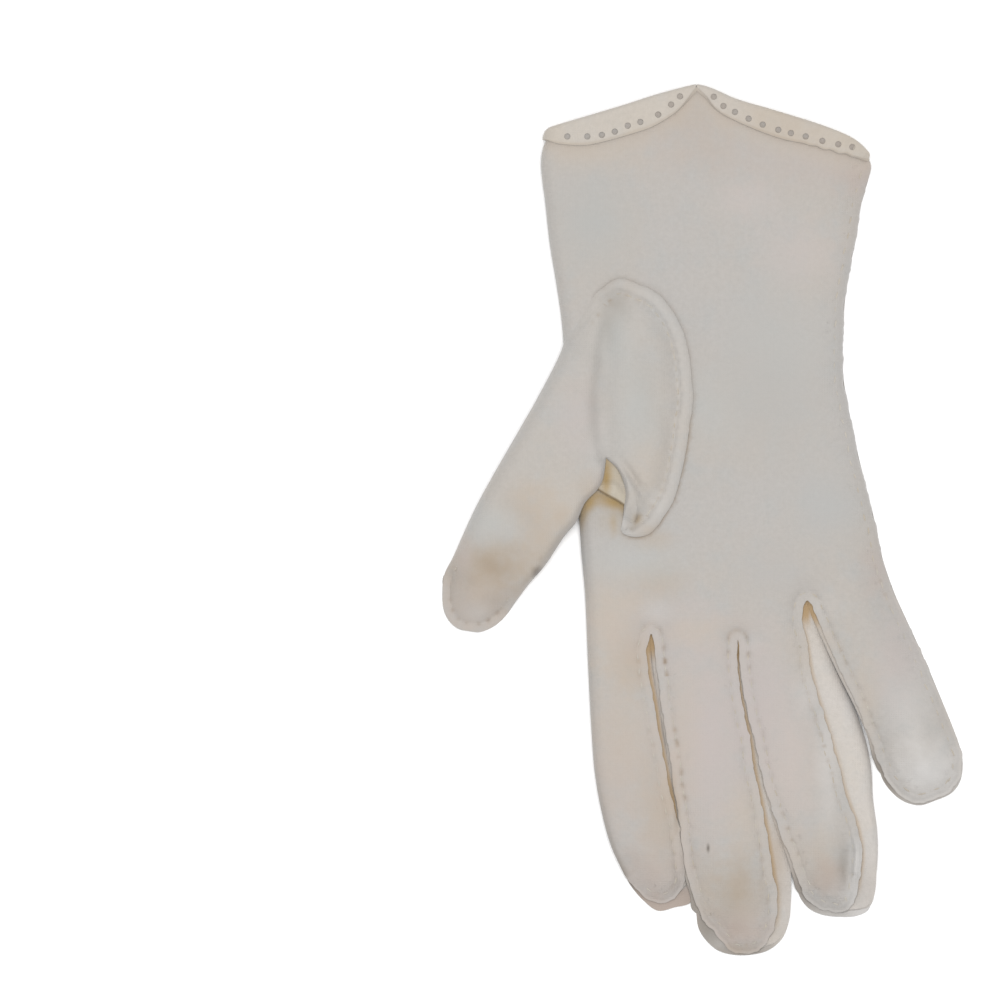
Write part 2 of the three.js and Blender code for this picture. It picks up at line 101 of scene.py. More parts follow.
sky = bpy.data.worlds.new("soft_sky")
sky.use_nodes = True
sky_light = sky.node_tree.nodes["Background"]
sky_light.inputs["Color"].default_value = SKY_COLOUR
sky_light.inputs["Strength"].default_value = SKY_STRENGTH
bpy.context.scene.world = sky
lamp_data = bpy.data.lights.new("softbox", "AREA")
lamp_data.size = LAMP_SIZE
lamp_data.energy = LAMP_POWER
lamp = placed("softbox", lamp_data)
lamp.location = LAMP_PLACE
lamp.rotation_mode = "QUATERNION"
lamp.rotation_quaternion = Vector(LAMP_PLACE).to_track_quat("Z", "Y")


# Palm and back: one piece of doubled cotton, folded along the index side. Its two layers are closed by
# outside seams, raw edge on raw edge, round the fingertips and up the little-finger side. All sizes here
# are in millimetres and become metres when a mesh is made.
MM = 0.001
CLOTH = 0.7  # one layer of cloth
SEAM = 2.4  # from the raw edges of an outside seam to its stitches
SEAM_ROLL = 0.17  # height of the soft roll along the raw edges
SEAM_VALLEY = 0.24  # depth of the valley that the stitches pull in
STITCH_PITCH = 3.8
FULL_HEIGHT = 8.9  # top of the lying hand
FOLD_LEVEL = 2.9  # widest line of the folded side
FOLD_REACH = 8  # how far in from the fold the cloth reaches its full height
FOLD_START = (-41.8, 108.0)  # the folded side goes on to here under the flap
BACK_TURN = 3.4  # how far in from the fold the back lies flat
EDGE_LOW = 1.5  # top of two pressed layers
PALM_FRAY = 0.19  # how uneven the palm layer's cut edge is
BACK_INSET = 1.3  # the back layer's cut edges lie under the finger's bulging sides
CUFF_LIFT = 1.25  # the flap across the back lifts the cuff by its own thickness
LIFT_FROM, LIFT_TO = 86, 96  # it rises between these
CUFF_TURN = 1.4  # the layers end this far short of the folded cuff edge
CUFF_LEFT, CUFF_RIGHT = -41, 44  # the layers follow the scallop between these
CUFF_ROW = 3  # the row of PALM at which the outside seam ends
LINE_STEP = 0.65
ON_LINE = 1e-4  # a point this near to a line is on it
BLOCK = 2000  # points worked on at a time, to save memory
SHARP_ANGLE = math.radians(55)


def columns(names, *rows):
    """A short table as one array for each named column."""
    return dict(zip(names.split(), np.array(rows, float).T))


def rows_of(table):
    """A table as one array, row by row."""
    return np.column_stack(list(table.values()))


PALM = columns(
    "y left right",
    (104.5, -42.2, 42.2), (102.4, -42.5, 43.2), (100.8, -43.1, 43.7), (98, -43.7, 44.4),
    (95.5, -43.8, 45.4), (92, -43.5, 44.6), (86, -42.7, 42.9), (75, -41.5, 41.1), (64, -39.7, 38.9),
    (52.6, -38.1, 37.9), (40, -37.3, 37.8), (26, -36.3, 40.1), (13, -35, 43), (0, -33.5, 46.3),
    (-10, -32.8, 48.4), (-20, -31.9, 51.8),
)
# The fingers from crotch to tip: the outline's left side, the palm layer's two cut edges, the outline's
# right side, and the height of the cut edges
INDEX = columns(
    "y left cut_left cut_right right edge",
    (-34, -31.3, -31.3, -15.2, -14.3, 7.3), (-41, -31, -31, -14.8, -13.8, 7.6),
    (-49, -30.6, -30.6, -13.3, -12.3, 7.7), (-58, -30.1, -30.1, -12, -11, 7.7),
    (-68, -29.3, -29.3, -10.1, -9.1, 7.6), (-78, -27.6, -27.6, -7.8, -7.2, 7.4),
    (-88, -24.9, -24.9, -5.8, -5.4, 6.2), (-96, -21.2, -21.2, -4.9, -4.7, 4),
)
MIDDLE = columns(
    "y left cut_left cut_right right edge",
    (-35, -14, -13.1, 9, 9.7, 7.3), (-41, -13.3, -12.4, 9.3, 10, 7.6), (-49, -12, -11.4, 10.3, 11.5, 7.7),
    (-58, -10.4, -10, 12.3, 13.8, 7.7), (-68, -8.9, -8.5, 13.8, 15.6, 7.6),
    (-78, -7.4, -7.1, 15.9, 18.4, 7.4), (-88, -6, -5.7, 17.7, 22.1, 6.8),
    (-96, -4.8, -4.4, 18.9, 23.8, 5.6), (-102, -3.1, -2.6, 19.8, 23.7, 4.2),
)
RING = columns(
    "y left cut_left cut_right right edge",
    (-26, 7, 7, 26.6, 30, 7.2), (-34, 9.2, 9.4, 28.1, 33.2, 7.5), (-44, 10.1, 10.4, 29.8, 37.4, 7.7),
    (-54, 12, 12.4, 32.9, 41.9, 7.7), (-64, 14.4, 14.9, 35.8, 45.1, 7.7),
    (-74, 16.7, 17.3, 38.5, 46.4, 7.6), (-84, 20.1, 20.6, 42, 47.2, 7.2),
    (-91, 22.9, 23.5, 42.9, 47.1, 6.4), (-97, 24.5, 25.5, 42.2, 46.7, 4.8),
)
LITTLE = columns(
    "y left cut_left cut_right right edge",
    (-26, 29.4, 30.4, 54.5, 54.5, 7.2), (-34, 33.2, 34, 58.2, 58.2, 7.5),
    (-42, 37, 37.6, 61.7, 61.7, 7.6), (-50, 41, 41.3, 65, 65, 7.4), (-58, 44.5, 44.8, 68.2, 68.2, 6.4),
    (-64, 46, 46.8, 70, 70, 4.8),
)
# The round ends of the fingers, from their left to their right side: the palm layer's cut edge, the back
# layer's cut edge, and the height of the former
INDEX_TIP = columns(
    "x y back_x back_y edge",
    (-19.1, -98.7, -19.4, -99, 2.4), (-15.8, -101.8, -16.3, -102.6, 1.6),
    (-12, -103.6, -12.2, -105.6, 1.5), (-8.8, -102.9, -7.8, -104.7, 1.5), (-6, -100, -3.3, -103.2, 2.2),
)
MIDDLE_TIP = columns(
    "x y back_x back_y edge",
    (-1.4, -105, -1.9, -107, 3), (0.2, -108.2, -1, -110.8, 2), (2.7, -111.2, 1.2, -114, 1.6),
    (5, -114, 4.2, -116.4, 1.5), (7.8, -116.6, 8.4, -117.5, 1.5), (12.8, -117, 13.4, -117.4, 1.9),
    (16.2, -115.2, 18, -116.1, 2.6), (18.4, -112, 21.4, -113.2, 3.1), (19.7, -107.9, 23.1, -108.4, 3.8),
)
RING_TIP = columns(
    "x y back_x back_y edge",
    (27.2, -101.2, 25.8, -101.2, 2.8), (29.6, -103.9, 28.4, -104.8, 1.8), (33.2, -105.6, 32, -106.6, 1.5),
    (36.6, -106.1, 36.5, -107.2, 1.9), (39.4, -105.2, 41.4, -107, 2.6), (41.1, -102.6, 44.9, -105.4, 3.1),
    (42, -99.8, 46.3, -101.2, 3.8),
)
LITTLE_TIP = columns(
    "x y back_x back_y edge",
    (48.9, -68.3, 47.8, -68.6, 3), (51, -72.3, 50, -72.4, 1.8), (54.4, -75.4, 53.8, -75.8, 1.5),
    (58.4, -76.6, 58.4, -77.1, 1.5), (62.2, -75.6, 62.2, -76, 1.5), (66.8, -73.4, 67.2, -73.7, 1.5),
    (69.3, -70, 69.6, -70.2, 1.5),
)
FINGERS = ((INDEX, INDEX_TIP), (MIDDLE, MIDDLE_TIP), (RING, RING_TIP), (LITTLE, LITTLE_TIP))
CROTCH_BULGE = 0.8
CROTCH_DROP = 0.4  # the back layer is cut this much deeper between the fingers
CROTCHES = columns(
    "x y edge",
    (-14.2, -30.4, 7), (9.2, -32.4, 7), (28.1, -21.7, 6.8),
)
CUFF_FOLD = columns(
    "x y",
    (-50, 103.6), (-43, 105.6), (-34.4, 108.1), (-20.7, 112.2), (-12.6, 114.8), (-4, 117.1),
    (-1.9, 117.5), (1.7, 116.7), (8.9, 113.6), (17.7, 111), (32.4, 106.4), (40, 103.3), (42.6, 101.5),
    (45.4, 98.6), (50, 94),
)


def along(line):
    """Distance along a line, in plan, at each of its points."""
    steps = np.linalg.norm(np.diff(line[:, :2], axis=0), axis=1)
    return np.concatenate([[0], np.cumsum(steps)])


def spline(rows, step=LINE_STEP):
    """A smooth line through the rows, centripetal so that it never loops, with points a step apart."""
    rows = np.asarray(rows, float)
    padded = np.vstack([2 * rows[0] - rows[1], rows, 2 * rows[-1] - rows[-2]])
    dense = []
    for i in range(len(rows) - 1):
        p0, p1, p2, p3 = padded[i:i + 4]
        knots = [0.0]
        for a, b in ((p0, p1), (p1, p2), (p2, p3)):
            knots.append(knots[-1] + max(1e-4, np.linalg.norm((b - a)[:2])) ** 0.5)
        t0, t1, t2, t3 = knots
        t = np.linspace(t1, t2, 32, endpoint=False)[:, None]

        def between(a, b, low, high):
            """The line from a to b, at t on the way from one knot to another."""
            return ((high - t) * a + (t - low) * b) / (high - low)

        middle = between(p1, p2, t1, t2)
        first = between(between(p0, p1, t0, t1), middle, t0, t2)
        second = between(middle, between(p2, p3, t2, t3), t1, t3)
        dense.append(between(first, second, t1, t2))
    dense = np.vstack(dense + [rows[-1:]])
    run = along(dense)
    at = np.linspace(0, run[-1], max(2, round(run[-1] / step) + 1))
    return np.column_stack([np.interp(at, run, column) for column in dense.T])


def smooth(low, high, value):
    """0 at low, 1 at high, and an even S between; low may be the larger of the two."""
    t = np.clip((value - low) / (high - low), 0, 1)
    return t * t * (3 - 2 * t)


def rise(t, power):
    """How far up a rounded side is, from 0 at its edge to 1 at its full height."""
    return (1 - (1 - np.clip(t, 0, 1)) ** power) ** (1 / power)


def bell(distance, width):
    """1 at no distance, fading out over the width."""
    return np.exp(-(distance / width) ** 2)


def spot(points, x, y, reach_x, reach_y):
    """1 at a place in plan, fading out over its reach each way."""
    return np.exp(-((points[:, 0] - x) / reach_x) ** 2 - ((points[:, 1] - y) / reach_y) ** 2)


def side_rows(finger, column, down):
    """One side of a finger below its crotch, as rows of x, y, edge height and bulge."""
    outline = finger["left" if "left" in column else "right"]
    rows = np.column_stack([finger[column], finger["y"], finger["edge"], abs(outline - finger[column])])
    if finger is RING and down:
        rows = rows[1:]
    return rows if down else rows[::-1]


def seam_line(left, right, prefix, crotch_drop):
    """The cut edge of a layer from the index fingertip round every finger and up to the cuff."""
    rows = [side_rows(INDEX, "left", True)[-1:] * (1, 1, 0, 0) + (0, 0, FOLD_LEVEL, 0)]
    for i, (finger, tip) in enumerate(FINGERS):
        if i:
            rows.append(side_rows(finger, left, True))
        bulge = np.hypot(tip["x"] - tip["back_x"], tip["y"] - tip["back_y"])
        rows.append(np.column_stack([tip[prefix + "x"], tip[prefix + "y"], tip["edge"], bulge]))
        if finger is not LITTLE:
            rows.append(side_rows(finger, right, False))
            x, y, edge = rows_of(CROTCHES)[i]
            rows.append([(x, y + crotch_drop, edge, CROTCH_BULGE)])
    outseam = side_rows(LITTLE, "right", False)
    outseam[:, 2] = EDGE_LOW
    palm = np.column_stack([PALM["right"], PALM["y"], PALM["y"] * 0 + EDGE_LOW, PALM["y"] * 0])
    return np.vstack(rows + [outseam, palm[:CUFF_ROW - 1:-1]])


def planned(points):
    """A search tree of points in plan."""
    tree = kdtree.KDTree(len(points))
    for i, (x, y) in enumerate(points[:, :2]):
        tree.insert((x, y, 0), i)
    tree.balance()
    return tree


def clearance(points, tree):
    """Distance in plan from each point to the nearest one of a tree."""
    return np.array([tree.find((x, y, 0))[2] for x, y in points[:, :2]])


def nearest(points, line):
    """Distance from each point to a line in plan, and the line's row there with its run as last column."""
    rows = np.column_stack([line, along(line)])
    tree = planned(rows)
    found = np.array([tree.find((x, y, 0))[1] for x, y in points[:, :2]])
    options = []
    for first in (np.maximum(found - 1, 0), np.minimum(found, len(rows) - 2)):
        start, span = rows[first], rows[first + 1] - rows[first]
        reached = ((points[:, :2] - start[:, :2]) * span[:, :2]).sum(1)
        t = reached / np.maximum((span[:, :2] ** 2).sum(1), 1e-9)
        foot = start + span * np.clip(t, 0, 1)[:, None]
        options.append((np.linalg.norm(points[:, :2] - foot[:, :2], axis=1), foot))
    (before, foot_before), (after, foot_after) = options
    closer = after < before
    return np.where(closer, after, before), np.where(closer[:, None], foot_after, foot_before)


def carried(points, source, softness):
    """The heights at a few places (x, y, height), carried evenly to all points beside and between them."""
    heights = []
    for block in np.array_split(points[:, :2], max(1, len(points) // BLOCK)):
        weight = (((block[:, None, :] - source[None, :, :2]) ** 2).sum(2) + softness) ** -2
        heights.append((weight * source[:, 2]).sum(1) / weight.sum(1))
    return np.concatenate(heights)


def inside(points, rings):
    """Whether each point lies inside an odd number of closed rings, in plan."""
    x, y = points[:, 0], points[:, 1]
    found = np.zeros(len(points), bool)
    for ring in rings:
        for (ax, ay), (bx, by) in zip(ring, np.roll(ring, -1, axis=0)):
            if ay != by:
                found ^= ((ay > y) != (by > y)) & (x < ax + (y - ay) * (bx - ax) / (by - ay))
    return found


def inward(ring):
    """Unit normals that point into a closed counter-clockwise ring."""
    tangent = np.roll(ring[:, :2], -1, axis=0) - np.roll(ring[:, :2], 1, axis=0)
    normal = np.column_stack([-tangent[:, 1], tangent[:, 0]])
    return normal / np.maximum(np.linalg.norm(normal, axis=1), 1e-9)[:, None]


ROW_CLEAR = 0.93  # a row's points keep this share of its offset from every edge
FIELD_CLEAR = 0.7  # the field's points keep this share of their spacing from the rows
FIELD_ROW = 0.866  # height of an even triangle of side 1


def fill(rings, offsets, spacing):
    """Points and triangles of a plan outline, its first ring, with the other rings as holes: rows along
    the edges, then an even field of points."""
    rings = [ring[:, :2] for ring in rings]
    edge = np.vstack(rings)
    links = []
    for ring in rings:
        start = len(links)
        links += [(start + i, start + (i + 1) % len(ring)) for i in range(len(ring))]
    tree = planned(edge)
    free = []
    for offset in offsets:
        for ring in rings:
            row = (ring + inward(ring) * offset)[::max(1, round(offset / 3))]
            free.append(row[clearance(row, tree) > ROW_CLEAR * offset])
    low, high = edge.min(0), edge.max(0)
    xs = np.arange(low[0], high[0], spacing)
    ys = np.arange(low[1], high[1], spacing * FIELD_ROW)
    field = np.array([(x + (j % 2) * spacing / 2, y) for j, y in enumerate(ys) for x in xs])
    field = field[clearance(field, planned(np.vstack([edge] + free))) > spacing * FIELD_CLEAR]
    free = np.vstack(free + [field])
    points = np.vstack([edge, free[inside(free, rings)]])
    made = geometry.delaunay_2d_cdt([Vector(p) for p in points], links, [], 1, 1e-5)
    points = np.array([tuple(p) for p in made[0]])
    faces = np.array(made[2])
    return points, faces[inside(points[faces].mean(1), rings)]


def ripple(points, scale, seed):
    """Even, soft unevenness between -1 and 1, in plan."""
    return np.array([noise.noise(Vector((x / scale, y / scale, seed))) for x, y in points[:, :2]])


def drift_along(run, scale, *seed):
    """Soft unevenness between -1 and 1 along a line."""
    return np.array([noise.noise(Vector((r / scale, *seed))) for r in run])


def frayed(line, amount):
    """A cut edge with the small unevenness of cloth cut by hand; its ends stay where they are."""
    run = along(line)
    ends = smooth(0, 6, run) * smooth(0, 6, run[-1] - run)
    shift = np.column_stack([ripple(line, 3.3, 21.5), ripple(line, 2.7, 35.5)])
    shift += 0.7 * np.column_stack([ripple(line, 1.3, 61.5), ripple(line, 1.1, 85.5)])
    shift *= amount * ends[:, None]
    return np.column_stack([line[:, :2] + 2 * shift, line[:, 2:]])


fold_line = spline(np.vstack([rows_of(PALM)[:, [1, 0]], rows_of(INDEX)[:, [1, 0]]]))
fold_guide = np.vstack([[FOLD_START], fold_line])
strip_seam = spline(seam_line("cut_left", "cut_right", "", 0))
palm_cut = frayed(strip_seam, PALM_FRAY)
back_cut = spline(seam_line("left", "right", "back_", CROTCH_DROP))

scallop = [(x, y - CUFF_TURN) for x, y in rows_of(CUFF_FOLD)[::-1] if CUFF_LEFT < x < CUFF_RIGHT]
cuff_line = spline([
    (PALM["right"][CUFF_ROW], PALM["y"][CUFF_ROW]), *scallop, (PALM["left"][0], PALM["y"][0]),
])
back_normals = inward(np.vstack([fold_line[:, :2], back_cut[:, :2]]))[len(fold_line):]
back_cut[:, :2] += back_normals * smooth(2.4, 5.0, back_cut[:, 2])[:, None] * BACK_INSET


def lower_of(a, b, width):
    """The lower of two heights, with a soft change from one to the other."""
    share = np.clip(0.5 + 0.5 * (b - a) / width, 0, 1)
    return b + (a - b) * share - width * share * (1 - share)


def beat(run, pitch):
    """1 at each stitch of a row and 0 halfway between two."""
    return 0.5 + 0.5 * np.cos(2 * np.pi * run / pitch)


def climb(distance, start, reach, power=1):
    """How far the cloth has risen past the start of a slope, from 0 to 1."""
    return np.sin(np.pi / 2 * np.clip((distance - start) / reach, 0, 1) ** power)


def roll(distance, width, power):
    """1 along the middle of a rolled edge and 0 at its two sides."""
    return np.sin(np.pi * np.clip(distance / width, 0, 1)) ** power


EVEN_PULL, STITCH_PULL = 0.25, 0.75  # the seam is pulled in all along, and more at each stitch
VALLEY_WIDTH = 0.55


def stitched_edge(distance, width, run):
    """Relief of an outside seam: a soft roll along the raw edges, then a valley that its stitches pull in,
    some more than others."""
    pull = beat(run, STITCH_PITCH) * (STITCH_PULL + drift_along(run, 14, 5.5, 0.5)) + EVEN_PULL
    valley = SEAM_VALLEY * pull * bell(distance - width, VALLEY_WIDTH)
    return (SEAM_ROLL * roll(distance, width, 0.8) - valley) * width / SEAM


PUCKERS = 7  # creases to a full turn
PUCKER_HEIGHT, PUCKER_AT, PUCKER_WIDTH = 0.04, 5.5, 2.4
CROTCH_DIP, DIP_WIDTH = 0.1, 5.0


def puckers(points):
    """Small radiating creases above each crotch, where the strip's fold draws the palm layer in."""
    height = np.zeros(len(points))
    for x, y in zip(CROTCHES["x"], CROTCHES["y"]):
        dx, dy = points[:, 0] - x, points[:, 1] - y
        reach = np.hypot(dx, dy)
        fan = np.cos(PUCKERS * np.arctan2(dx, dy) + x)
        pucker = PUCKER_HEIGHT * fan * bell(reach - PUCKER_AT, PUCKER_WIDTH)
        height += pucker - CROTCH_DIP * bell(reach, DIP_WIDTH)
    return height


RING_CURL = (41, -93, 4.5, 8)  # place and reach
CURL_HEIGHT, CURL_AT, CURL_WIDTH = 1.4, 1.5, 1.1
FURROW_DEPTH, FURROW_AT, FURROW_WIDTH = 2.4, 4.6, 1.5


def ring_curl(points, from_cut):
    """The raw edges beside the ring fingertip have curled up, with a furrow along them."""
    curl = CURL_HEIGHT * bell(from_cut - CURL_AT, CURL_WIDTH)
    return spot(points, *RING_CURL) * (curl - FURROW_DEPTH * bell(from_cut - FURROW_AT, FURROW_WIDTH))


def fold_level(points):
    """How far the cuff is lifted off the table, and the height of the folded side."""
    lift = CUFF_LIFT * smooth(LIFT_FROM, LIFT_TO, points[:, 1])
    return lift, FOLD_LEVEL + lift / 2


EDGE_KEPT = 4  # this far in from a cut edge the cloth loses the edge's own small ups and downs
EVENNESS = 2.25
LONG_WAVE, SHORT_WAVE = 0.32, 0.12  # heights of the soft unevenness of cloth that has been worn
SLOPE, SLOPE_FOR_DROP = 6.2, 1.3  # width of the slope beside a seam, and more of it for each mm of drop
NARROW = 0.2  # width of a seam where it begins and under the flap
ROUNDED = (-25, 5)  # from the fingers to the palm the slope changes to a rounded side,
LESS_ROUNDED = (78, 92)  # and most of the way back to a slope under the flap


def palm_top(points):
    """Height of the palm layer's outer face."""
    y = points[:, 1]
    lift, low = fold_level(points)
    from_fold, _ = nearest(points, fold_guide)
    from_cut, cut = nearest(points, palm_cut)
    near, run = cut[:, 2], cut[:, -1]
    edge = near + (carried(points, palm_cut[::3], EVENNESS) - near) * smooth(0, EDGE_KEPT, from_cut)
    full = FULL_HEIGHT + LONG_WAVE * ripple(points, 30, 1.5) + SHORT_WAVE * ripple(points, 11, 4.5)
    reach = SLOPE + SLOPE_FOR_DROP * (full - edge)
    width = NARROW + (SEAM - NARROW) * smooth(0, 10, run) * smooth(97, 90, y)
    standing = smooth(2, 6, edge)
    share = climb(from_cut, width * (0.35 + 0.65 * standing), reach, 0.85)
    round_side = smooth(*ROUNDED, y) * (1 - 0.7 * smooth(*LESS_ROUNDED, y))
    share += (rise(from_cut / reach, 2.6) - share) * round_side
    relief = (0.55 + 0.45 * standing - 0.35 * round_side) * stitched_edge(from_cut, width, run)
    seam = edge + lift + (full - edge - lift) * share + relief + ring_curl(points, from_cut)
    side = low + (full - low) * rise(from_fold / FOLD_REACH, 3.2)
    return np.where(from_fold < ON_LINE, low, lower_of(seam, side, 1.0) + puckers(points))


TABLE_GAP = 0.06  # the back's cloth lies this far off the table,
BACK_WAVE = 0.05  # with this much unevenness,
BACK_RIM = 0.3  # and its rim stands up this much more


def back_bottom(points):
    """Height of the back layer's outer face, which lies on the table."""
    lift, low = fold_level(points)
    from_fold, _ = nearest(points, fold_guide)
    from_cut, _ = nearest(points, back_cut)
    flat = TABLE_GAP + BACK_WAVE * ripple(points, 14, 8.5) + BACK_RIM * bell(from_cut, 1.0)
    height = lift + flat + (low - lift - flat) * (1 - rise(from_fold / BACK_TURN, 2.2))
    return np.where(from_fold < ON_LINE, low, height)


RELAX_SHARE = 0.6  # how far each pass goes towards the mean


def relaxed(points, faces, free, passes):
    """Evens out the heights of the points marked free, each towards the mean of its neighbours."""
    sides = np.vstack([faces[:, [0, 1]], faces[:, [1, 2]], faces[:, [2, 0]]])
    a, b = np.unique(np.sort(sides, axis=1), axis=0).T
    count = np.bincount(np.append(a, b), minlength=len(points))
    height = points[:, 2].copy()
    for _ in range(passes):
        total = np.bincount(a, height[b], len(points)) + np.bincount(b, height[a], len(points))
        eased = (1 - RELAX_SHARE) * height + RELAX_SHARE * total / np.maximum(count, 1)
        height = np.where(free, eased, height)
    return np.column_stack([points[:, :2], height])


def plain_mesh(name, points, faces=(), links=()):
    """A smooth mesh from points in millimetres."""
    mesh = bpy.data.meshes.new(name)
    mesh.from_pydata((np.asarray(points) * MM).tolist(), list(links), np.asarray(faces).tolist())
    mesh.shade_smooth()
    return placed(name, mesh)


def two_layers(name, upper, lower):
    """A mesh from an upper and a lower layer, each given as points and triangles."""
    points = np.vstack([upper[0], lower[0]])
    return plain_mesh(name, points, np.vstack([upper[1], lower[1][:, ::-1] + len(upper[0])]))


def baked(made):
    """Turns an object's modifiers into plain mesh and removes them."""
    mesh = bpy.data.meshes.new_from_object(made.evaluated_get(bpy.context.evaluated_depsgraph_get()))
    made.modifiers.clear()
    old = made.data
    made.data = mesh
    bpy.data.meshes.remove(old)
    made.data.name = made.name


def welded(made):
    """Joins the layers of a mesh where they meet at a fold."""
    weld = made.modifiers.new("fold", "WELD")
    weld.merge_threshold = 1e-6
    baked(made)


def thicken(made, thickness, material):
    """Gives a sheet its thickness, inward from its outer face, and its material."""
    solidify = made.modifiers.new("thickness", "SOLIDIFY")
    solidify.thickness = thickness * MM
    solidify.offset = -1
    baked(made)
    made.data.set_sharp_from_angle(angle=SHARP_ANGLE)
    made.data.materials.append(material)


def wire(tree, value, socket):
    """Links a node's input to another node's output, or sets it to a value."""
    if isinstance(value, bpy.types.NodeSocket):
        tree.links.new(value, socket)
    else:
        socket.default_value = value


def node(tree, kind, *values, **named):
    """A new node. Plain values go to its inputs in turn, named ones to the input of that name or, in lower
    case, to a setting. A value may also be another node's output."""
    made = tree.nodes.new(kind)
    inputs = dict(enumerate(values))
    for name, value in named.items():
        if name.islower():
            setattr(made, name, value)
        else:
            inputs[name.replace("_", " ")] = value
    for key, value in inputs.items():
        wire(tree, value, made.inputs[key])
    return made


def maths(tree, operation, *values):
    """The result of a maths node."""
    return node(tree, "ShaderNodeMath", *values, operation=operation).outputs[0]


def blend(tree, factor, a, b):
    """A colour between a and b."""
    made = node(tree, "ShaderNodeMix", data_type="RGBA")
    for index, value in ((0, factor), (6, a), (7, b)):
        wire(tree, value, made.inputs[index])
    return made.outputs[2]


def node_group(kind, name, inputs, outputs):
    """An empty node group with named sockets, the values it is given and the sockets for its results."""
    group = bpy.data.node_groups.new(name, kind + "NodeTree")
    for direction, sockets in (("INPUT", inputs), ("OUTPUT", outputs)):
        for title, socket_kind in sockets.items():
            group.interface.new_socket(title, in_out=direction, socket_type="NodeSocket" + socket_kind)
    return group, group.nodes.new("NodeGroupInput").outputs, group.nodes.new("NodeGroupOutput").inputs


# Brushed cotton: a base colour that drifts between a warm and a cool cast, with a faint nap and weave
SPECK_COLOUR = (0.2, 0.19, 0.17, 1)
cotton_group, given, result = node_group(
    "Shader", "brushed_cotton",
    {"Place": "Vector", "Cloth": "Color", "Warm": "Color", "Cool": "Color", "Nap": "Float"},
    {"Colour": "Color", "Normal": "Vector"},
)
place = given["Place"]
colour = given["Cloth"]
for cast, scale, detail, roughness, low, high, most in (
    (given["Warm"], 38.0, 2.0, 0.5, 0.42, 0.66, 0.8),
    (given["Cool"], 120.0, 3.0, 0.6, 0.48, 0.7, 0.7),
    (SPECK_COLOUR, 900.0, 3.0, 0.7, 0.3, 0.7, 0.14),
):
    cloud = node(cotton_group, "ShaderNodeTexNoise", Vector=place, Scale=scale, Detail=detail,
                 Roughness=roughness)
    share = node(cotton_group, "ShaderNodeMapRange", Value=cloud.outputs["Fac"], From_Min=low,
                 From_Max=high, To_Max=most)
    colour = blend(cotton_group, share.outputs["Result"], colour, cast)
weft, warp = (
    node(cotton_group, "ShaderNodeTexWave", bands_direction=direction, Vector=place, Scale=scale,
         Distortion=2.5, Detail=2.0).outputs["Fac"]
    for direction, scale in (("X", 700.0), ("Y", 620.0))
)
threads = maths(cotton_group, "ADD", weft, warp)
fuzz = node(cotton_group, "ShaderNodeTexNoise", Vector=place, Scale=1500.0, Detail=4.0, Roughness=0.75)
pile = maths(cotton_group, "MULTIPLY_ADD", fuzz.outputs["Fac"], 3.0, threads)
nap = node(cotton_group, "ShaderNodeBump", Strength=given["Nap"], Distance=0.0001, Height=pile)
wire(cotton_group, colour, result["Colour"])
wire(cotton_group, nap.outputs["Normal"], result["Normal"])

# A soft, uneven patch of colour on the cloth. Some patches are soil and uneven tones of the cloth; others
# are painted shade and painted light. What lies on the table stays clear
patch_group, given, result = node_group(
    "Shader", "soiled_patch",
    {"Place": "Vector", "Centre": "Vector", "Reach": "Vector", "Strength": "Float"},
    {"Mask": "Float"},
)
place = given["Place"]
offset = node(patch_group, "ShaderNodeVectorMath", place, given["Centre"], operation="SUBTRACT")
scaled = node(patch_group, "ShaderNodeVectorMath", offset.outputs[0], given["Reach"], operation="DIVIDE")
length = node(patch_group, "ShaderNodeVectorMath", scaled.outputs[0], operation="LENGTH")
ragged = node(patch_group, "ShaderNodeTexNoise", Vector=place, Scale=240.0, Detail=3.0)
uneven = maths(patch_group, "MULTIPLY_ADD", ragged.outputs["Fac"], 0.7, length.outputs["Value"])
fade = node(patch_group, "ShaderNodeMapRange", interpolation_type="SMOOTHSTEP", Value=uneven, From_Min=0.2,
            From_Max=1.6, To_Min=1.0, To_Max=0.0)
level = node(patch_group, "ShaderNodeSeparateXYZ", Vector=place)
upper = node(patch_group, "ShaderNodeMapRange", Value=level.outputs["Z"], From_Min=0.0009, From_Max=0.0016)
mask = maths(patch_group, "MULTIPLY", fade.outputs["Result"], upper.outputs["Result"])
wire(patch_group, maths(patch_group, "MULTIPLY", mask, given["Strength"]), result["Mask"])


def cotton(name, cloth, warm, cool, patches=(), attribute_marks=(), nap=0.35):
    """A cotton material, with patches of colour given as (x, y, x reach, y reach, colour, strength) in
    millimetres, and colours that follow the piece's own shape given as (attribute, colour, strength). Both
    hold stains and tones of the cloth, and also painted shade and painted light."""
    material = bpy.data.materials.new(name)
    material.use_nodes = True
    tree = material.node_tree
    place = node(tree, "ShaderNodeTexCoord").outputs["Object"]
    body = node(tree, "ShaderNodeGroup", node_tree=cotton_group, Place=place, Cloth=(*cloth, 1),
                Warm=(*warm, 1), Cool=(*cool, 1), Nap=nap)
    colour = body.outputs["Colour"]
    for x, y, reach_x, reach_y, cast, strength in patches:
        patch = node(tree, "ShaderNodeGroup", node_tree=patch_group, Place=place, Strength=strength,
                     Centre=(x * MM, y * MM, 0.008), Reach=(reach_x * MM, reach_y * MM, 0.1))
        colour = blend(tree, patch.outputs["Mask"], colour, (*cast, 1))
    for attribute, cast, strength in attribute_marks:
        held = node(tree, "ShaderNodeAttribute", attribute_name=attribute)
        colour = blend(tree, maths(tree, "MULTIPLY", held.outputs["Fac"], strength), colour, (*cast, 1))
    shader = tree.nodes["Principled BSDF"]
    for title, value in (
        ("Base Color", colour), ("Normal", body.outputs["Normal"]), ("Roughness", 0.95),
        ("Specular IOR Level", 0.15), ("Sheen Weight", 0.25), ("Sheen Roughness", 0.5),
    ):
        wire(tree, value, shader.inputs[title])
    return material
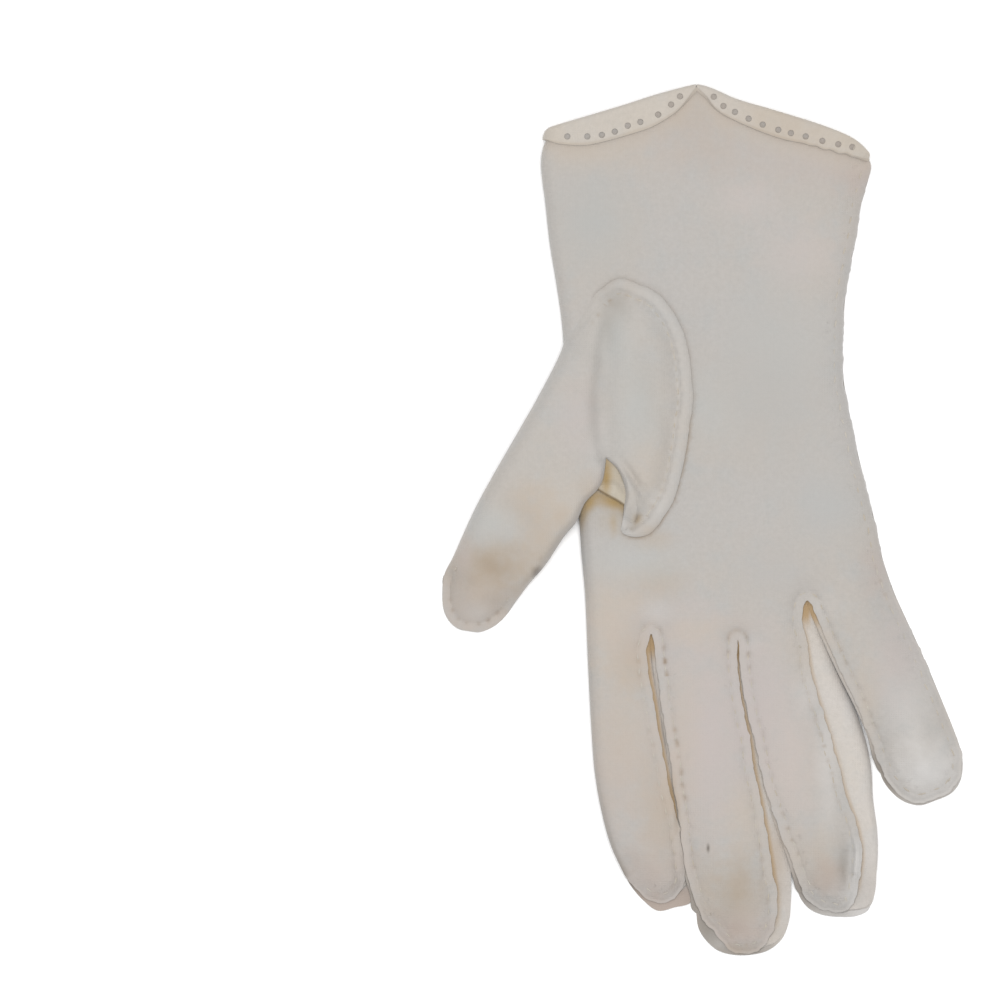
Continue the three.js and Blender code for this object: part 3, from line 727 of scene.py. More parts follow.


# Colours laid over the cloth. The ochre, honey and umber ones are painted shade, the warm dark of creases,
# slits and the cloth under the thumb's tube. The grey-soil, brown and soil ones are painted shade with some
# real soil, and the clean one is painted light where the cloth should look more brightly lit. The pinks,
# peaches, rose, lilac, cools, grey and sands are the cloth's own uneven tones, and the dark one marks a
# loose thread's end, small spots and painted shade in one corner.
OCHRE_SHADE = (0.319, 0.221, 0.097)
HONEY_SHADE = (0.36, 0.245, 0.125)
BROWN_SHADE_AND_SOIL = (0.239, 0.168, 0.102)
SOIL_AND_SHADE = (0.3, 0.235, 0.168)
GREY_SHADE_AND_SOIL = (0.221, 0.195, 0.168)
UMBER_SHADE = (0.14, 0.095, 0.045)
DARK = (0.09, 0.075, 0.06)
PINK = (0.388, 0.328, 0.294)
PINK_SHADE = (0.35, 0.285, 0.245)
PEACH = (0.432, 0.363, 0.293)
PEACH_SHADE = (0.375, 0.31, 0.245)
ROSE = (0.43, 0.381, 0.355)
LILAC = (0.412, 0.367, 0.351)
COOL = (0.381, 0.387, 0.376)
COOL_SHADE = (0.352, 0.352, 0.34)
GREY = (0.36, 0.358, 0.35)
SAND = (0.36, 0.348, 0.332)
SAND_LIGHT = (0.365, 0.352, 0.34)
PAINTED_LIGHT = (0.496, 0.482, 0.469)
# Among the palm's patches, the ochre ones round the thumb's notch, the umber ones by the index-middle slit,
# the grey-soil one in the furrow beside the ring finger's curled edge, the soil band along the middle
# fingertip's lower edge and the dark spot between the index tip and the middle finger are painted shade,
# and the clean ones are painted light; the rest are tones and stains of the cloth.
palm_material = cotton(
    "ivory_palm_cotton",
    cloth=(0.391, 0.372, 0.354),
    warm=(0.4, 0.37, 0.34),
    cool=(0.374, 0.369, 0.358),
    patches=(
        (-25, -28, 13, 17, PEACH, 0.65), (-19, -38, 8, 12, PEACH_SHADE, 0.7),
        (-12, -17, 10, 8, PEACH_SHADE, 0.45), (-22, -60, 14, 24, PEACH, 0.5),
        (-22, -70, 16, 30, PINK, 0.35), (-12, -78, 7, 22, PEACH_SHADE, 0.6),
        (-14, -97, 13, 12, PINK, 0.6), (-13, -102.5, 3.5, 3, PINK_SHADE, 0.4),
        (-8.2, -73, 1.2, 4.5, UMBER_SHADE, 0.4), (-7.2, -79.5, 1.2, 5.5, UMBER_SHADE, 0.65),
        (1, -60, 16, 34, LILAC, 0.9), (-6, -62, 7, 34, PEACH, 0.35), (9, -101, 8, 14, SOIL_AND_SHADE, 0.6),
        (10, -112, 16, 9, PINK, 0.7), (12, -80, 8, 12, PEACH, 0.4), (16, -50, 10, 26, LILAC, 0.8),
        (24, -66, 10, 24, ROSE, 0.75), (-8, -30, 26, 12, LILAC, 0.45), (-2, 103, 24, 14, PINK, 0.35),
        (2, 100, 14, 8, PEACH_SHADE, 0.2), (-2, 110, 14, 8, PEACH_SHADE, 0.35),
        (28, 96, 26, 10, PINK, 0.4), (-28, 98, 20, 6, PEACH, 0.3), (-30, 80, 16, 18, COOL_SHADE, 0.7),
        (2, 30, 12, 14, COOL, 0.45), (34, 4, 14, 14, GREY, 0.8), (18, 38, 20, 30, SAND, 0.85),
        (18, -14, 16, 10, SAND_LIGHT, 0.6), (12, 86, 10, 7, ROSE, 0.6), (30, -36, 12, 12, PEACH, 0.3),
        (44, -50, 5, 16, PEACH, 0.45), (-2, -30, 14, 6, PEACH, 0.4), (1, -100, 5, 12, PEACH_SHADE, 0.45),
        (8, -116, 12, 2.5, SOIL_AND_SHADE, 0.4), (33, -91, 6, 10, PEACH_SHADE, 0.4), (42.5, -102, 5, 6, PAINTED_LIGHT, 0.8),
        (-8.5, -76, 4, 12, PEACH_SHADE, 0.5), (27, 72, 14, 12, ROSE, 0.5),
        (-14, -5.5, 8, 4, PEACH_SHADE, 0.5), (33.5, -66, 4, 22, PAINTED_LIGHT, 0.45),
        (56, -50, 8, 14, PAINTED_LIGHT, 0.4), (4.8, -115.2, 1.3, 0.9, DARK, 0.7),
        (-4.7, -98.6, 0.8, 1, DARK, 0.5), (24, -92, 10, 12, PEACH, 0.4),
        (33.5, -96.5, 5.5, 7, PINK_SHADE, 0.6), (9.5, -111, 4, 3.5, PINK_SHADE, 0.45),
        (32, -23, 7, 6, PAINTED_LIGHT, 0.2), (-12.7, -25, 5, 5, PAINTED_LIGHT, 0.25), (28, -46.5, 4.5, 8, PAINTED_LIGHT, 0.25),
        (13, -33, 3, 3, PAINTED_LIGHT, 0.2), (38, -93, 2.2, 8, GREY_SHADE_AND_SOIL, 0.4),
        (1.3, -88.6, 0.55, 1.5, DARK, 0.75), (41.8, -93, 3, 9, PAINTED_LIGHT, 0.7), (-23, 1, 8, 6, OCHRE_SHADE, 0.24),
        (-24.6, 4.6, 5, 2.2, OCHRE_SHADE, 0.75), (-24.2, -1, 1.6, 4.5, OCHRE_SHADE, 0.35),
        (-31, 4.8, 3, 3.2, OCHRE_SHADE, 0.7), (42, 93, 9, 8, PINK, 0.6), (47, -14, 6, 10, PINK, 0.5),
        (52, -38, 8, 16, LILAC, 0.6), (60, -68, 13, 12, PAINTED_LIGHT, 0.95), (-19, -11, 16, 7, COOL, 0.5),
        (22, 50, 22, 18, COOL, 0.25),
    ),
    attribute_marks=(
        ("stitch_soil", BROWN_SHADE_AND_SOIL, 0.7), ("pinkish", PINK_SHADE, 0.8), ("clean_rim", PAINTED_LIGHT, 0.9),
        ("handled", GREY_SHADE_AND_SOIL, 0.75), ("oval_shade", BROWN_SHADE_AND_SOIL, 0.5), ("notch_shade", OCHRE_SHADE, 0.75),
        ("beside_flap", PEACH, 0.4), ("under_flap", BROWN_SHADE_AND_SOIL, 0.5),
    ),
)


# The hole in the palm layer that the thumb's gusset covers, clockwise
THUMB_HOLE = columns(
    "x y",
    (-24, 58), (-16, 58.5), (-10.5, 53), (-7.8, 44), (-7, 33), (-8, 21), (-10.4, 11), (-13, 5),
    (-16.6, 3.4), (-18.5, 10), (-22.5, 19), (-29.5, 27), (-32, 38), (-30.5, 50),
)
# The line along which the thumb's tube shades the palm, under its notch
NOTCH_SHADE = columns(
    "x y",
    (-34.3, -2), (-32.2, 2.7), (-29.2, 6.8), (-27, 6.5), (-23.6, 4.8), (-20.7, 3),
)
# The raw edges of the seam that holds the thumb, round the oval, and how far they stand up
OVAL = columns(
    "x y ridge",
    (-22.3, -2.4, 0.3), (-21.9, -3.5, 0.5), (-20.6, -4.2, 0.8), (-18.4, -4.6, 1), (-14.9, -4, 1),
    (-12.6, -1.9, 1), (-10.4, 1.2, 1), (-8, 5.3, 1), (-6, 12.6, 1), (-4.6, 19.3, 1), (-3.6, 26.4, 1),
    (-2.9, 31.3, 1), (-3.1, 38, 1), (-3.9, 44.5, 1), (-5.2, 50, 1), (-7.9, 55.8, 1), (-10.8, 59.6, 1),
    (-14.7, 62.5, 1), (-18, 63.7, 0.9), (-21.7, 65, 0.9), (-24.4, 64.6, 0.75), (-27.1, 62.7, 0.55),
    (-29.7, 60.2, 0.35), (-32, 56.9, 0.2), (-34.6, 53, 0.05), (-36.9, 50.2, 0),
)
OVAL_FRAY = 0.09
oval_line = frayed(spline(rows_of(OVAL)), OVAL_FRAY)
# The free edges of the turned-back cuff, which meet in a V
CUFF_V = -1.9
FREE_EDGE_THUMB = columns(
    "x y",
    (-50, 102.6), (-43, 102.8), (-38.7, 101.5), (-31.9, 101.1), (-27.5, 101.9), (-18.9, 104.3),
    (-14.2, 105.9), (-10.2, 108.1), (-7.1, 110.3), (-4.6, 113.1), (-2.3, 116.2), (-1.9, 116.6),
)
FREE_EDGE_LITTLE = columns(
    "x y",
    (-1.9, 116.8), (-1.4, 116.3), (1, 114), (2.7, 111.6), (5.6, 109.3), (13.5, 105.6), (21.3, 102.8),
    (27.5, 101.5), (36.4, 99.1), (43, 97.5), (50, 96.2),
)


def ring_of(table, step):
    """A table's rows as a smooth closed ring."""
    rows = rows_of(table)
    return spline(np.vstack([rows, rows[:1]]), step)[:-1]


def curve_at(table, x):
    """A table's line, read at x with rounded corners."""
    line = spline(rows_of(table))
    order = np.argsort(line[:, 0])
    return np.interp(x, line[order, 0], line[order, 1])


def tell(made, attribute, values, first=0):
    """Stores values for the points of a mesh from the first one on, for its material; the others have 0."""
    held = np.zeros(len(made.data.vertices))
    held[first:first + len(values)] = values
    made.data.attributes.new(attribute, "FLOAT", "POINT").data.foreach_set("value", held)


def beside(points, line, width):
    """1 on a line, fading out over the width, by the share that the line's third column holds there."""
    distance, foot = nearest(points, line)
    return foot[:, 2] * bell(distance, width)


HOLE_SPREAD = 0.5  # how far the dark of a stitch hole spreads
EVEN_DARKENING, PATCHY_DARKENING = 0.45, 1.5


def seam_shade_and_soil(points, line, width, pitch):
    """How much the stitch holes of a seam are darkened, from 0 to 1: painted shade in the holes, with some
    soil.
    """
    distance, foot = nearest(points, line)
    run = foot[:, -1]
    dots = np.clip(np.cos(2 * np.pi * run / pitch), 0, 1) * bell(distance - width, HOLE_SPREAD)
    return np.clip(dots * (EVEN_DARKENING + PATCHY_DARKENING * drift_along(run, 11, 2.5, 7.5)), 0, 1) * (run > 0)


PALM_ROWS = (0.05, 0.25, 0.55, 0.9, 1.3, 1.7, 2.05, 2.4, 2.75, 3.2, 3.8, 4.6)  # distances in from the edge
BACK_ROWS = (0.05, 0.3, 0.8, 1.4, 2.2, 3.2)
PALM_GRAIN = 1.0  # distance between the points of the field
BACK_GRAIN = 2.0
RELAX_CLEAR = 1.2  # seams and folds keep their shape this far round them
RELAX_BELOW_CUFF = 8
RELAX_PASSES = 9
LIT_RIM = (43, -104, 5, 6)  # place and reach
TUBE_SHADE = 1.6  # how far the thumb's tube shades the palm
OVAL_SHADE = 0.5
palm_ring = np.vstack([fold_line[:, :2], palm_cut[1:, :2], cuff_line[1:-1, :2]])
back_ring = np.vstack([fold_line[:, :2], back_cut[1:, :2], cuff_line[1:-1, :2]])
top, top_faces = fill([palm_ring, ring_of(THUMB_HOLE, 1.5)], PALM_ROWS, PALM_GRAIN)
bottom, bottom_faces = fill([back_ring], BACK_ROWS, BACK_GRAIN)
top = np.column_stack([top, palm_top(top)])
top_x, top_y = top[:, 0], top[:, 1]
from_top_fold = nearest(top, fold_line)[0]
free = (nearest(top, palm_cut)[0] > SEAM + RELAX_CLEAR) & (from_top_fold > RELAX_CLEAR)
top = relaxed(top, top_faces, free & (top_y < cuff_line[-1, 1] - RELAX_BELOW_CUFF), RELAX_PASSES)
bottom = np.column_stack([bottom, back_bottom(bottom)])
hand = two_layers("palm_and_back_cloth", (top, top_faces), (bottom, bottom_faces))

# The stitch holes' painted shade and soil are darkest in the fingers, and most of all along the middle
# finger's left side
on_middle = np.clip(1 - np.abs(top_x + 8.5) / 5, 0, 1) * smooth(-72, -64, top_y) * smooth(-34, -38, top_y)
darkened = seam_shade_and_soil(top, palm_cut, SEAM, STITCH_PITCH) * (0.4 + on_middle) * smooth(1, 5, top[:, 2])
tell(hand, "stitch_soil", darkened * smooth(0, -20, top_y))
# The back layer's rim shows round the fingertips: pinkish at the index, and elsewhere darkened with painted
# shade on the sides that face away from the light, as the folded side of the index finger is too. At the
# ring finger's tip it is painted lighter, which offsets the shade that the layer above casts on it.
tell(hand, "pinkish", smooth(0, -3, bottom[:, 0]) * smooth(-96, -101, bottom[:, 1]), len(top))
tell(hand, "clean_rim", spot(bottom, *LIT_RIM), len(top))
SHADED_SIDES = columns(
    "x y reach_x reach_y share",
    (-19, -99, 4, 12, 0.7), (1, -110, 5, 7, 1), (9, -117, 10, 3, 0.8), (27.5, -101, 4, 7, 0.75),
    (50, -70, 5, 8, 1), (59, -77, 9, 3, 0.35),
)
side_shade = [share * spot(bottom, *patch) for *patch, share in rows_of(SHADED_SIDES)]
on_index = (0.35 * smooth(-25, -45, top_y) + 0.65 * smooth(-60, -90, top_y)) * bell(from_top_fold, 1.0)
tell(hand, "handled", np.append(on_index, np.max(side_shade, axis=0)))
# The thumb's tube and its raw seam edges shade the palm, and so do the free edges of the flaps
tell(hand, "notch_shade", bell(nearest(top, rows_of(NOTCH_SHADE))[0], TUBE_SHADE))
tell(hand, "oval_shade", beside(top, oval_line, OVAL_SHADE) * (0.3 + 0.7 * smooth(42, 18, top_y)))
free_edge = np.where(top_x < CUFF_V, curve_at(FREE_EDGE_THUMB, top_x), curve_at(FREE_EDGE_LITTLE, top_x))
past_edge = top_y - free_edge
tell(hand, "beside_flap", smooth(-7, 0, past_edge) * smooth(0.7, 0, past_edge))
# Painted shade on the palm under the flaps, which shows along their free edges and through their punched
# holes
under_flap = smooth(-0.5, 0.7, past_edge) * (0.4 + 0.6 * smooth(-45, 40, top_x))
tell(hand, "under_flap", under_flap * (0.3 + 0.7 * smooth(1.7, 0.9, past_edge)))
welded(hand)
thicken(hand, CLOTH, palm_material)
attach(hand, "root")
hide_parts("palm_and_back")


# The seams' running stitches, in cotton thread, each one sunk between the holes that it pulls in. They
# are beads laid along a row, each a little longer or shorter than the next.
THREAD = 0.22  # half the thickness of the thread
STITCH_LENGTH = 1.9
STITCH_SINK = 0.02
SHORTEST, LONGEST = 0.75, 1.15  # a bead's size varies by these factors
STITCH_START = 12  # the palm's stitches begin this many points in from the index fingertip
thread_material = cotton(
    "ivory_thread",
    cloth=(0.443, 0.412, 0.363),
    warm=(0.398, 0.345, 0.274),
    cool=(0.381, 0.363, 0.327),
    nap=0.1,
)


def grown(made, group, **values):
    """Runs a geometry node group on an object with the named values and keeps the result as plain mesh."""
    modifier = made.modifiers.new(group.name, "NODES")
    modifier.node_group = group
    for item in group.interface.items_tree:
        if item.in_out == "INPUT" and item.name in values:
            modifier[item.identifier] = values[item.name]
    made.update_tag()
    baked(made)


def laid(tree, places, shape, **placing):
    """A copy of a shape at each of the places."""
    copies = node(tree, "GeometryNodeInstanceOnPoints", Points=places, Instance=shape, **placing)
    return node(tree, "GeometryNodeRealizeInstances", copies.outputs["Instances"]).outputs["Geometry"]


def coloured(tree, shape, material, target):
    """Gives the finished shape its material and passes it on."""
    painted = node(tree, "GeometryNodeSetMaterial", Geometry=shape, Material=material)
    wire(tree, painted.outputs["Geometry"], target)


stitch_group, given, result = node_group(
    "Geometry", "running_stitches",
    {"Geometry": "Geometry", "Pitch": "Float", "Length": "Float", "Thread": "Float", "Seed": "Int",
     "Cotton": "Material"},
    {"Geometry": "Geometry"},
)
seam_curve = node(stitch_group, "GeometryNodeMeshToCurve", Mesh=given["Geometry"]).outputs["Curve"]
spaced = node(stitch_group, "GeometryNodeCurveToPoints", mode="LENGTH", Curve=seam_curve,
              Length=given["Pitch"])
bead = node(stitch_group, "GeometryNodeMeshUVSphere", Segments=6, Rings=5, Radius=1.0).outputs["Mesh"]
half_length = maths(stitch_group, "MULTIPLY", given["Length"], 0.5)
size = node(stitch_group, "ShaderNodeCombineXYZ", given["Thread"], given["Thread"], half_length).outputs[0]
varied = node(stitch_group, "FunctionNodeRandomValue", data_type="FLOAT", Seed=given["Seed"])
wire(stitch_group, SHORTEST, varied.inputs[2])
wire(stitch_group, LONGEST, varied.inputs[3])
fitted = node(stitch_group, "ShaderNodeVectorMath", size, operation="SCALE", Scale=varied.outputs[1])
beads = laid(stitch_group, spaced.outputs["Points"], bead, Rotation=spaced.outputs["Rotation"],
             Scale=fitted.outputs[0])
coloured(stitch_group, beads, given["Cotton"], result["Geometry"])


def stitches(name, line, width, height_of, pitch, seed):
    """A row of stitches inside a cut edge, lying on the cloth."""
    normals = inward(line)
    normals[0], normals[-1] = normals[1], normals[-2]
    row = line[:, :2] + normals * width
    clear = nearest(row, line)[0] > width - 0.1
    row = np.column_stack([row, height_of(row) - STITCH_SINK])
    links = [(i, i + 1) for i in range(len(row) - 1) if clear[i] and clear[i + 1]]
    made = plain_mesh(name, row, links=links)
    grown(made, stitch_group, Pitch=pitch * MM, Length=STITCH_LENGTH * MM, Thread=THREAD * MM, Seed=seed,
          Cotton=thread_material)
    made.data.shade_smooth()
    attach(made, "root")
    return made


palm_stitches = stitches("palm_seam_stitches", palm_cut[STITCH_START:], SEAM, palm_top, STITCH_PITCH, 4)


# Fourchettes: the narrow strips that form the fingers' side walls. Each is one strip folded at the crotch,
# its raw edges sewn flush with the palm layer's and tucked on the back layer. Their cloth is given a
# lighter, warmer colour than the palm's, with warm painted shade in the slits and at the crotches and grey
# painted shade where the fingers' sides turn away from the light.
STRIP_CLOTH = 0.55
STRIP_STITCH = 2.3  # from the raw edges to the turn at the stitches
STRIP_WIDEST = 3.3  # height of the widest line of a finger's side
STRIP_END = 2.5  # a strip runs out where the cut edges have come down this low
SLIT_DEPTH = 2.3  # where two fingers touch, the strip's fold lies this deep between them
SLIT_CLOSE = 0.3  # and its two legs press into each other by this much
STRIP_TAPER = 4  # length over which a strip narrows to its ends
TOUCHING, APART = 1.2, 5  # gaps at which two fingers press on each other and stand free
SEAM_ROWS = (-STRIP_STITCH, -1.6, -0.8)  # rows of points in from the edge of the palm layer
TUCK = (0.15, 0.7, 1.6, 3.2)  # rows tucked in on the back layer
TUCK_RISE = (0.45, 0.35, 0.2)  # height of all but the first of them above it
LOWEST_STRIP = 0.3
WALL_SHARES = (0, 0.03, 0.08, 0.16, 0.28, 0.45, 0.65, 0.85, 1)  # rows of points across a side wall
# Among the strips' patches, the umber one along the index-middle slit is painted shade, and the clean one
# by the ring-little crotch is painted light that offsets the shade there; the peach one is a tone of the
# cloth.
strip_material = cotton(
    "warm_fourchette_cotton",
    cloth=(0.496, 0.465, 0.438),
    warm=(0.496, 0.456, 0.412),
    cool=(0.469, 0.451, 0.429),
    patches=(
        (20, -91, 4.5, 14, PEACH_SHADE, 0.6), (-7.9, -77, 2.2, 9.5, UMBER_SHADE, 0.5),
        (39.5, -49, 2.5, 8, PAINTED_LIGHT, 0.5),
    ),
    attribute_marks=(("crevice", HONEY_SHADE, 0.9), ("handled", GREY_SHADE_AND_SOIL, 0.75)),
)

seam_normals = inward(np.vstack([fold_line[:-1, :2], strip_seam[:, :2], cuff_line[:, :2]]))
seam_normals = seam_normals[len(fold_line) - 1:len(fold_line) - 1 + len(strip_seam)]


def strip_section(edge, out):
    """A side wall's outer face, from the palm seam to the back seam: outward distances and heights."""
    under = edge - CLOTH - STRIP_CLOTH - 0.05
    pressed = 1 - smooth(TOUCHING, APART, out)
    widest = STRIP_WIDEST + (edge - SLIT_DEPTH - STRIP_WIDEST) * pressed
    widest = max(0.35, min(widest, under - 0.6, 0.35 + 0.75 * under))
    reach = out + SLIT_CLOSE * pressed
    across = np.concatenate([SEAM_ROWS, np.array(WALL_SHARES) * reach])
    share = ((across + STRIP_STITCH) / (reach + STRIP_STITCH)) ** 1.25
    wall = widest + (under - 0.25 - widest) * np.cos(np.arcsin(np.clip(share, 0, 1))) ** 0.8
    outward = np.concatenate([(-0.1, -1.2, -STRIP_STITCH + 0.2), across, out - np.array(TUCK)])
    tucked = np.append(widest * 0.62, CLOTH + np.array(TUCK_RISE))
    levels = np.concatenate([(under, under + 0.02, under - 0.05), wall, tucked])
    return outward, np.maximum(levels, LOWEST_STRIP)


def grid_faces(rows, size, lengthwise=False):
    """Quads between rows of points that have size points each, from either side."""
    a, b = (size, 1) if lengthwise else (1, size)
    corners = [i * size + k for i in range(rows - 1) for k in range(size - 1)]
    return [(c, c + a, c + a + b, c + b) for c in corners]


def strip_end(finger, side, step):
    """Where on the seam a strip runs out, past the last row of a finger's side."""
    last = np.hypot(strip_seam[:, 0] - finger[side][-1], strip_seam[:, 1] - finger["y"][-1])
    end = np.argmin(last)
    while strip_seam[end, 2] > STRIP_END:
        end += step
    return end


def fourchette(name, cad_node, left_finger, right_finger, slit_shade):
    """One strip, from the tip of its left finger up round the crotch to the tip of its right one."""
    start = strip_end(left_finger, "cut_right", -1)
    end = strip_end(right_finger, "cut_left", 1)
    crotch = start + np.argmax(strip_seam[start:end, 1])
    points, crevice, handled = [], [], []
    for i in range(start, end + 1):
        x, y, edge, out = strip_seam[i]
        nx, ny = seam_normals[i]
        out = out * abs(nx) if out > CROTCH_BULGE else out
        out *= smooth(-1, STRIP_TAPER, min(i - start, end - i) * LINE_STEP)
        outward, levels = strip_section(edge, out)
        points += [(x - nx * o, y - ny * o, z) for o, z in zip(outward, levels)]
        on_right = i > crotch
        # Painted shade: warm in the slit and round the crotch, and grey where the cut edges come down low
        # near the tips, most of all on the strip's right leg
        deep_shade = smooth(0.5 + 1.3 * slit_shade, 0.2, outward) * (0.1 if on_right else slit_shade)
        from_crotch = abs(i - crotch) * LINE_STEP
        deep_shade = np.maximum(deep_shade, smooth(10, 4, from_crotch) * smooth(3.0, 1.5, outward))
        crevice += list(deep_shade * smooth(2.6, 5, edge))
        side_shade = 1 - smooth(4.0, 7.3, edge)
        side_shade = max(side_shade, 0.2 * smooth(4, 12, from_crotch)) if on_right else 0.2 * side_shade
        handled += [side_shade] * len(outward)
    strip = plain_mesh(name, points, grid_faces(end - start + 1, len(outward)))
    tell(strip, "crevice", crevice)
    tell(strip, "handled", handled)
    thicken(strip, STRIP_CLOTH, strip_material)
    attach(strip, "root")
    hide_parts(cad_node)


for left_name, right_name, left_finger, right_finger, slit_shade, flat, area in (
    ("index", "middle", INDEX, MIDDLE, 0.9, (0.015, 0.15), 0.00183),
    ("middle", "ring", MIDDLE, RING, 0.8, (0.018, 0.16), 0.00202),
    ("ring", "little", RING, LITTLE, 0.45, (0.02, 0.15), 0.00207),
):
    fourchette(f"{left_name}_{right_name}_fourchette_cloth", f"fourchette_{left_name}_{right_name}",
               left_finger, right_finger, slit_shade)


# Thumb: a tube with the round gusset at its base, both cut in one piece and folded along the outer side.
# It is sewn into the palm with its raw edges outward, which stand as a flat ridge round an oval.
THUMB_FOLD = columns(
    "x y mid seam reach",
    (-36.9, 50.2, 6.1, 0, 6), (-38.4, 45.4, 6, 0, 8), (-44.9, 32.6, 6.4, 0, 7), (-49.7, 24.2, 6.6, 0, 7),
    (-56.4, 12.6, 6.4, 0, 7), (-61.1, 4, 5.6, 0, 7), (-64.3, -2.8, 4.6, 0, 8), (-67.5, -10, 3.2, 0.3, 8),
    (-69.8, -14.6, 2.2, 1, 8), (-70.4, -19, 1.5, 1, 8), (-70, -24.5, 1.5, 1, 8),
    (-68.2, -27.8, 1.5, 1, 8), (-65.9, -29.5, 1.5, 1, 8), (-63, -30.1, 1.5, 1, 8),
    (-60.2, -30.3, 1.5, 1, 8), (-56.4, -28.7, 1.5, 1, 8), (-53.4, -26, 1.8, 1, 8),
    (-50.5, -22, 3, 0.5, 7), (-47, -17.3, 4.2, 0, 5), (-42.6, -12.2, 5.4, 0, 5),
    (-37.6, -4.6, 6.8, 0, 4.5), (-34.3, -0.6, 7.6, 0, 4), (-31.9, 4.6, 8.8, 0, 3.5),
    (-28.6, 8.1, 9.6, 0, 3.5), (-27.2, 10.6, 9.8, 0, 3.5), (-26.2, 16.6, 10.2, 0, 3),
)
GUSSET_FOLD = columns(
    "x y mid",
    (-26.2, 16.6, 10.2), (-23.3, 13.8, 9.9), (-21.7, 10.5, 9.8), (-21, 7.2, 9.7), (-21.4, 4, 9.7),
    (-21.6, 1.2, 9.6), (-21.9, -0.8, 9.5), (-22.3, -2.4, 9.35),
)
# Heights that the thumb and its gusset reach away from their edges
THUMB_CREST = columns(
    "x y height",
    (-29, 58, 10.9), (-31, 50, 12), (-32.5, 40, 13.6), (-35, 29, 14.8), (-39, 18, 15.3), (-45, 6, 14.9),
    (-51, -3, 13.6), (-55, -9.5, 12.2), (-59, -15.5, 10.6), (-61.5, -20, 8.8), (-62.6, -24, 6.5),
    (-63.4, -27.6, 4), (-30, 12, 14.2), (-13.5, 56, 11.6), (-12, 46, 12.6), (-11.5, 33, 13),
    (-12, 22, 12.8), (-13.5, 12, 12.3), (-15.5, 4, 11.4), (-22, 60, 11), (-22, 46, 12.4), (-22, 30, 13),
)
THUMB_VALLEY = columns(
    "x y depth",
    (-19.6, 62.9, 0.2), (-23.3, 59.2, 0.7), (-25.5, 54.2, 1.1), (-26.5, 47.7, 1.3), (-27.1, 41.3, 1.3),
    (-28.1, 34.6, 1.2), (-27.9, 26.4, 1.2), (-26.2, 16.6, 1.4),
)
GUSSET_GROOVE = columns(
    "x y depth",
    (-22.4, 16.2, 0.2), (-20.3, 13.2, 0.8), (-17.6, 9.1, 1), (-15.2, 5.3, 1), (-13.8, 2.4, 0.8),
    (-13.8, 0, 0.3),
)
GUSSET_HOOK = columns(
    "x y depth",
    (-16.8, 1.8, 0.3), (-17.6, 0.7, 1), (-18.1, -0.5, 0.9), (-18.5, -1.8, 0.8), (-19.6, -2.4, 0.9),
    (-20.1, -2.3, 0.3),
)
OVAL_SEAM = 4.0  # from the raw edges of the oval to its stitches
OVAL_PITCH = 3.1
TIP_SEAM = 2.2
FLANGE_GAP = 0.12  # between the oval's raw edges and the palm
FLANGE_ROLL, FLANGE_VALLEY = 0.8, 0.95  # relief of the oval seam
FLANGE_SLOPE = 7
CREST_EVENNESS = 20
VALLEY_DEPTH = 1.75
TO_TUBE, TO_GUSSET = 2.2, 4.4  # how wide the valley opens to each side
THUMB_WAVE = 0.35
ROLLED_IN, ROLLED_WIDTH = 0.9, 6  # swelling where the gusset rolls into the notch
GROOVE_DEPTH, GROOVE_WIDTH = 1.8, 1.25
HOOK_WIDTH = 0.8
CURL_REACH = 2.2
PALM_MEETS = (-34.3, -0.6)  # where the thumb's inner edge comes off the palm
TUBE_TOP = 45.0  # the tube has an underside of its own up to this y
THUMB_AXIS = (-0.44, -0.898)
THUMB_LOW_AT = (-27, 0, 10, 20, 28, 36)  # distances along the axis, and the heights of the underside there
THUMB_LOW = (4.0, 4.0, 3.4, 2.0, 0.8, 0.1)
THUMB_ROWS = (0.05, 0.25, 0.6, 1.0, 1.5, 2.0, 2.6, 3.1, 3.5, 3.9, 4.5)
THUMB_GRAIN = 1.1
UNDER_ROWS = (0.05, 0.4, 0.9, 1.6, 2.4, 3.4)
UNDER_GRAIN = 1.8
UNDER_TURN = 3.6  # how far in from its edge the underside lies flat
UNDER_RIM = 0.3  # the raw edges at the tip stand up this much

thumb_fold, gusset_fold, groove_line, hook_line, valley_line = (
    spline(rows_of(table)) for table in (THUMB_FOLD, GUSSET_FOLD, GUSSET_GROOVE, GUSSET_HOOK, THUMB_VALLEY)
)
palm_outline = np.vstack([fold_line[::3, :2], strip_seam[::3, :2]])


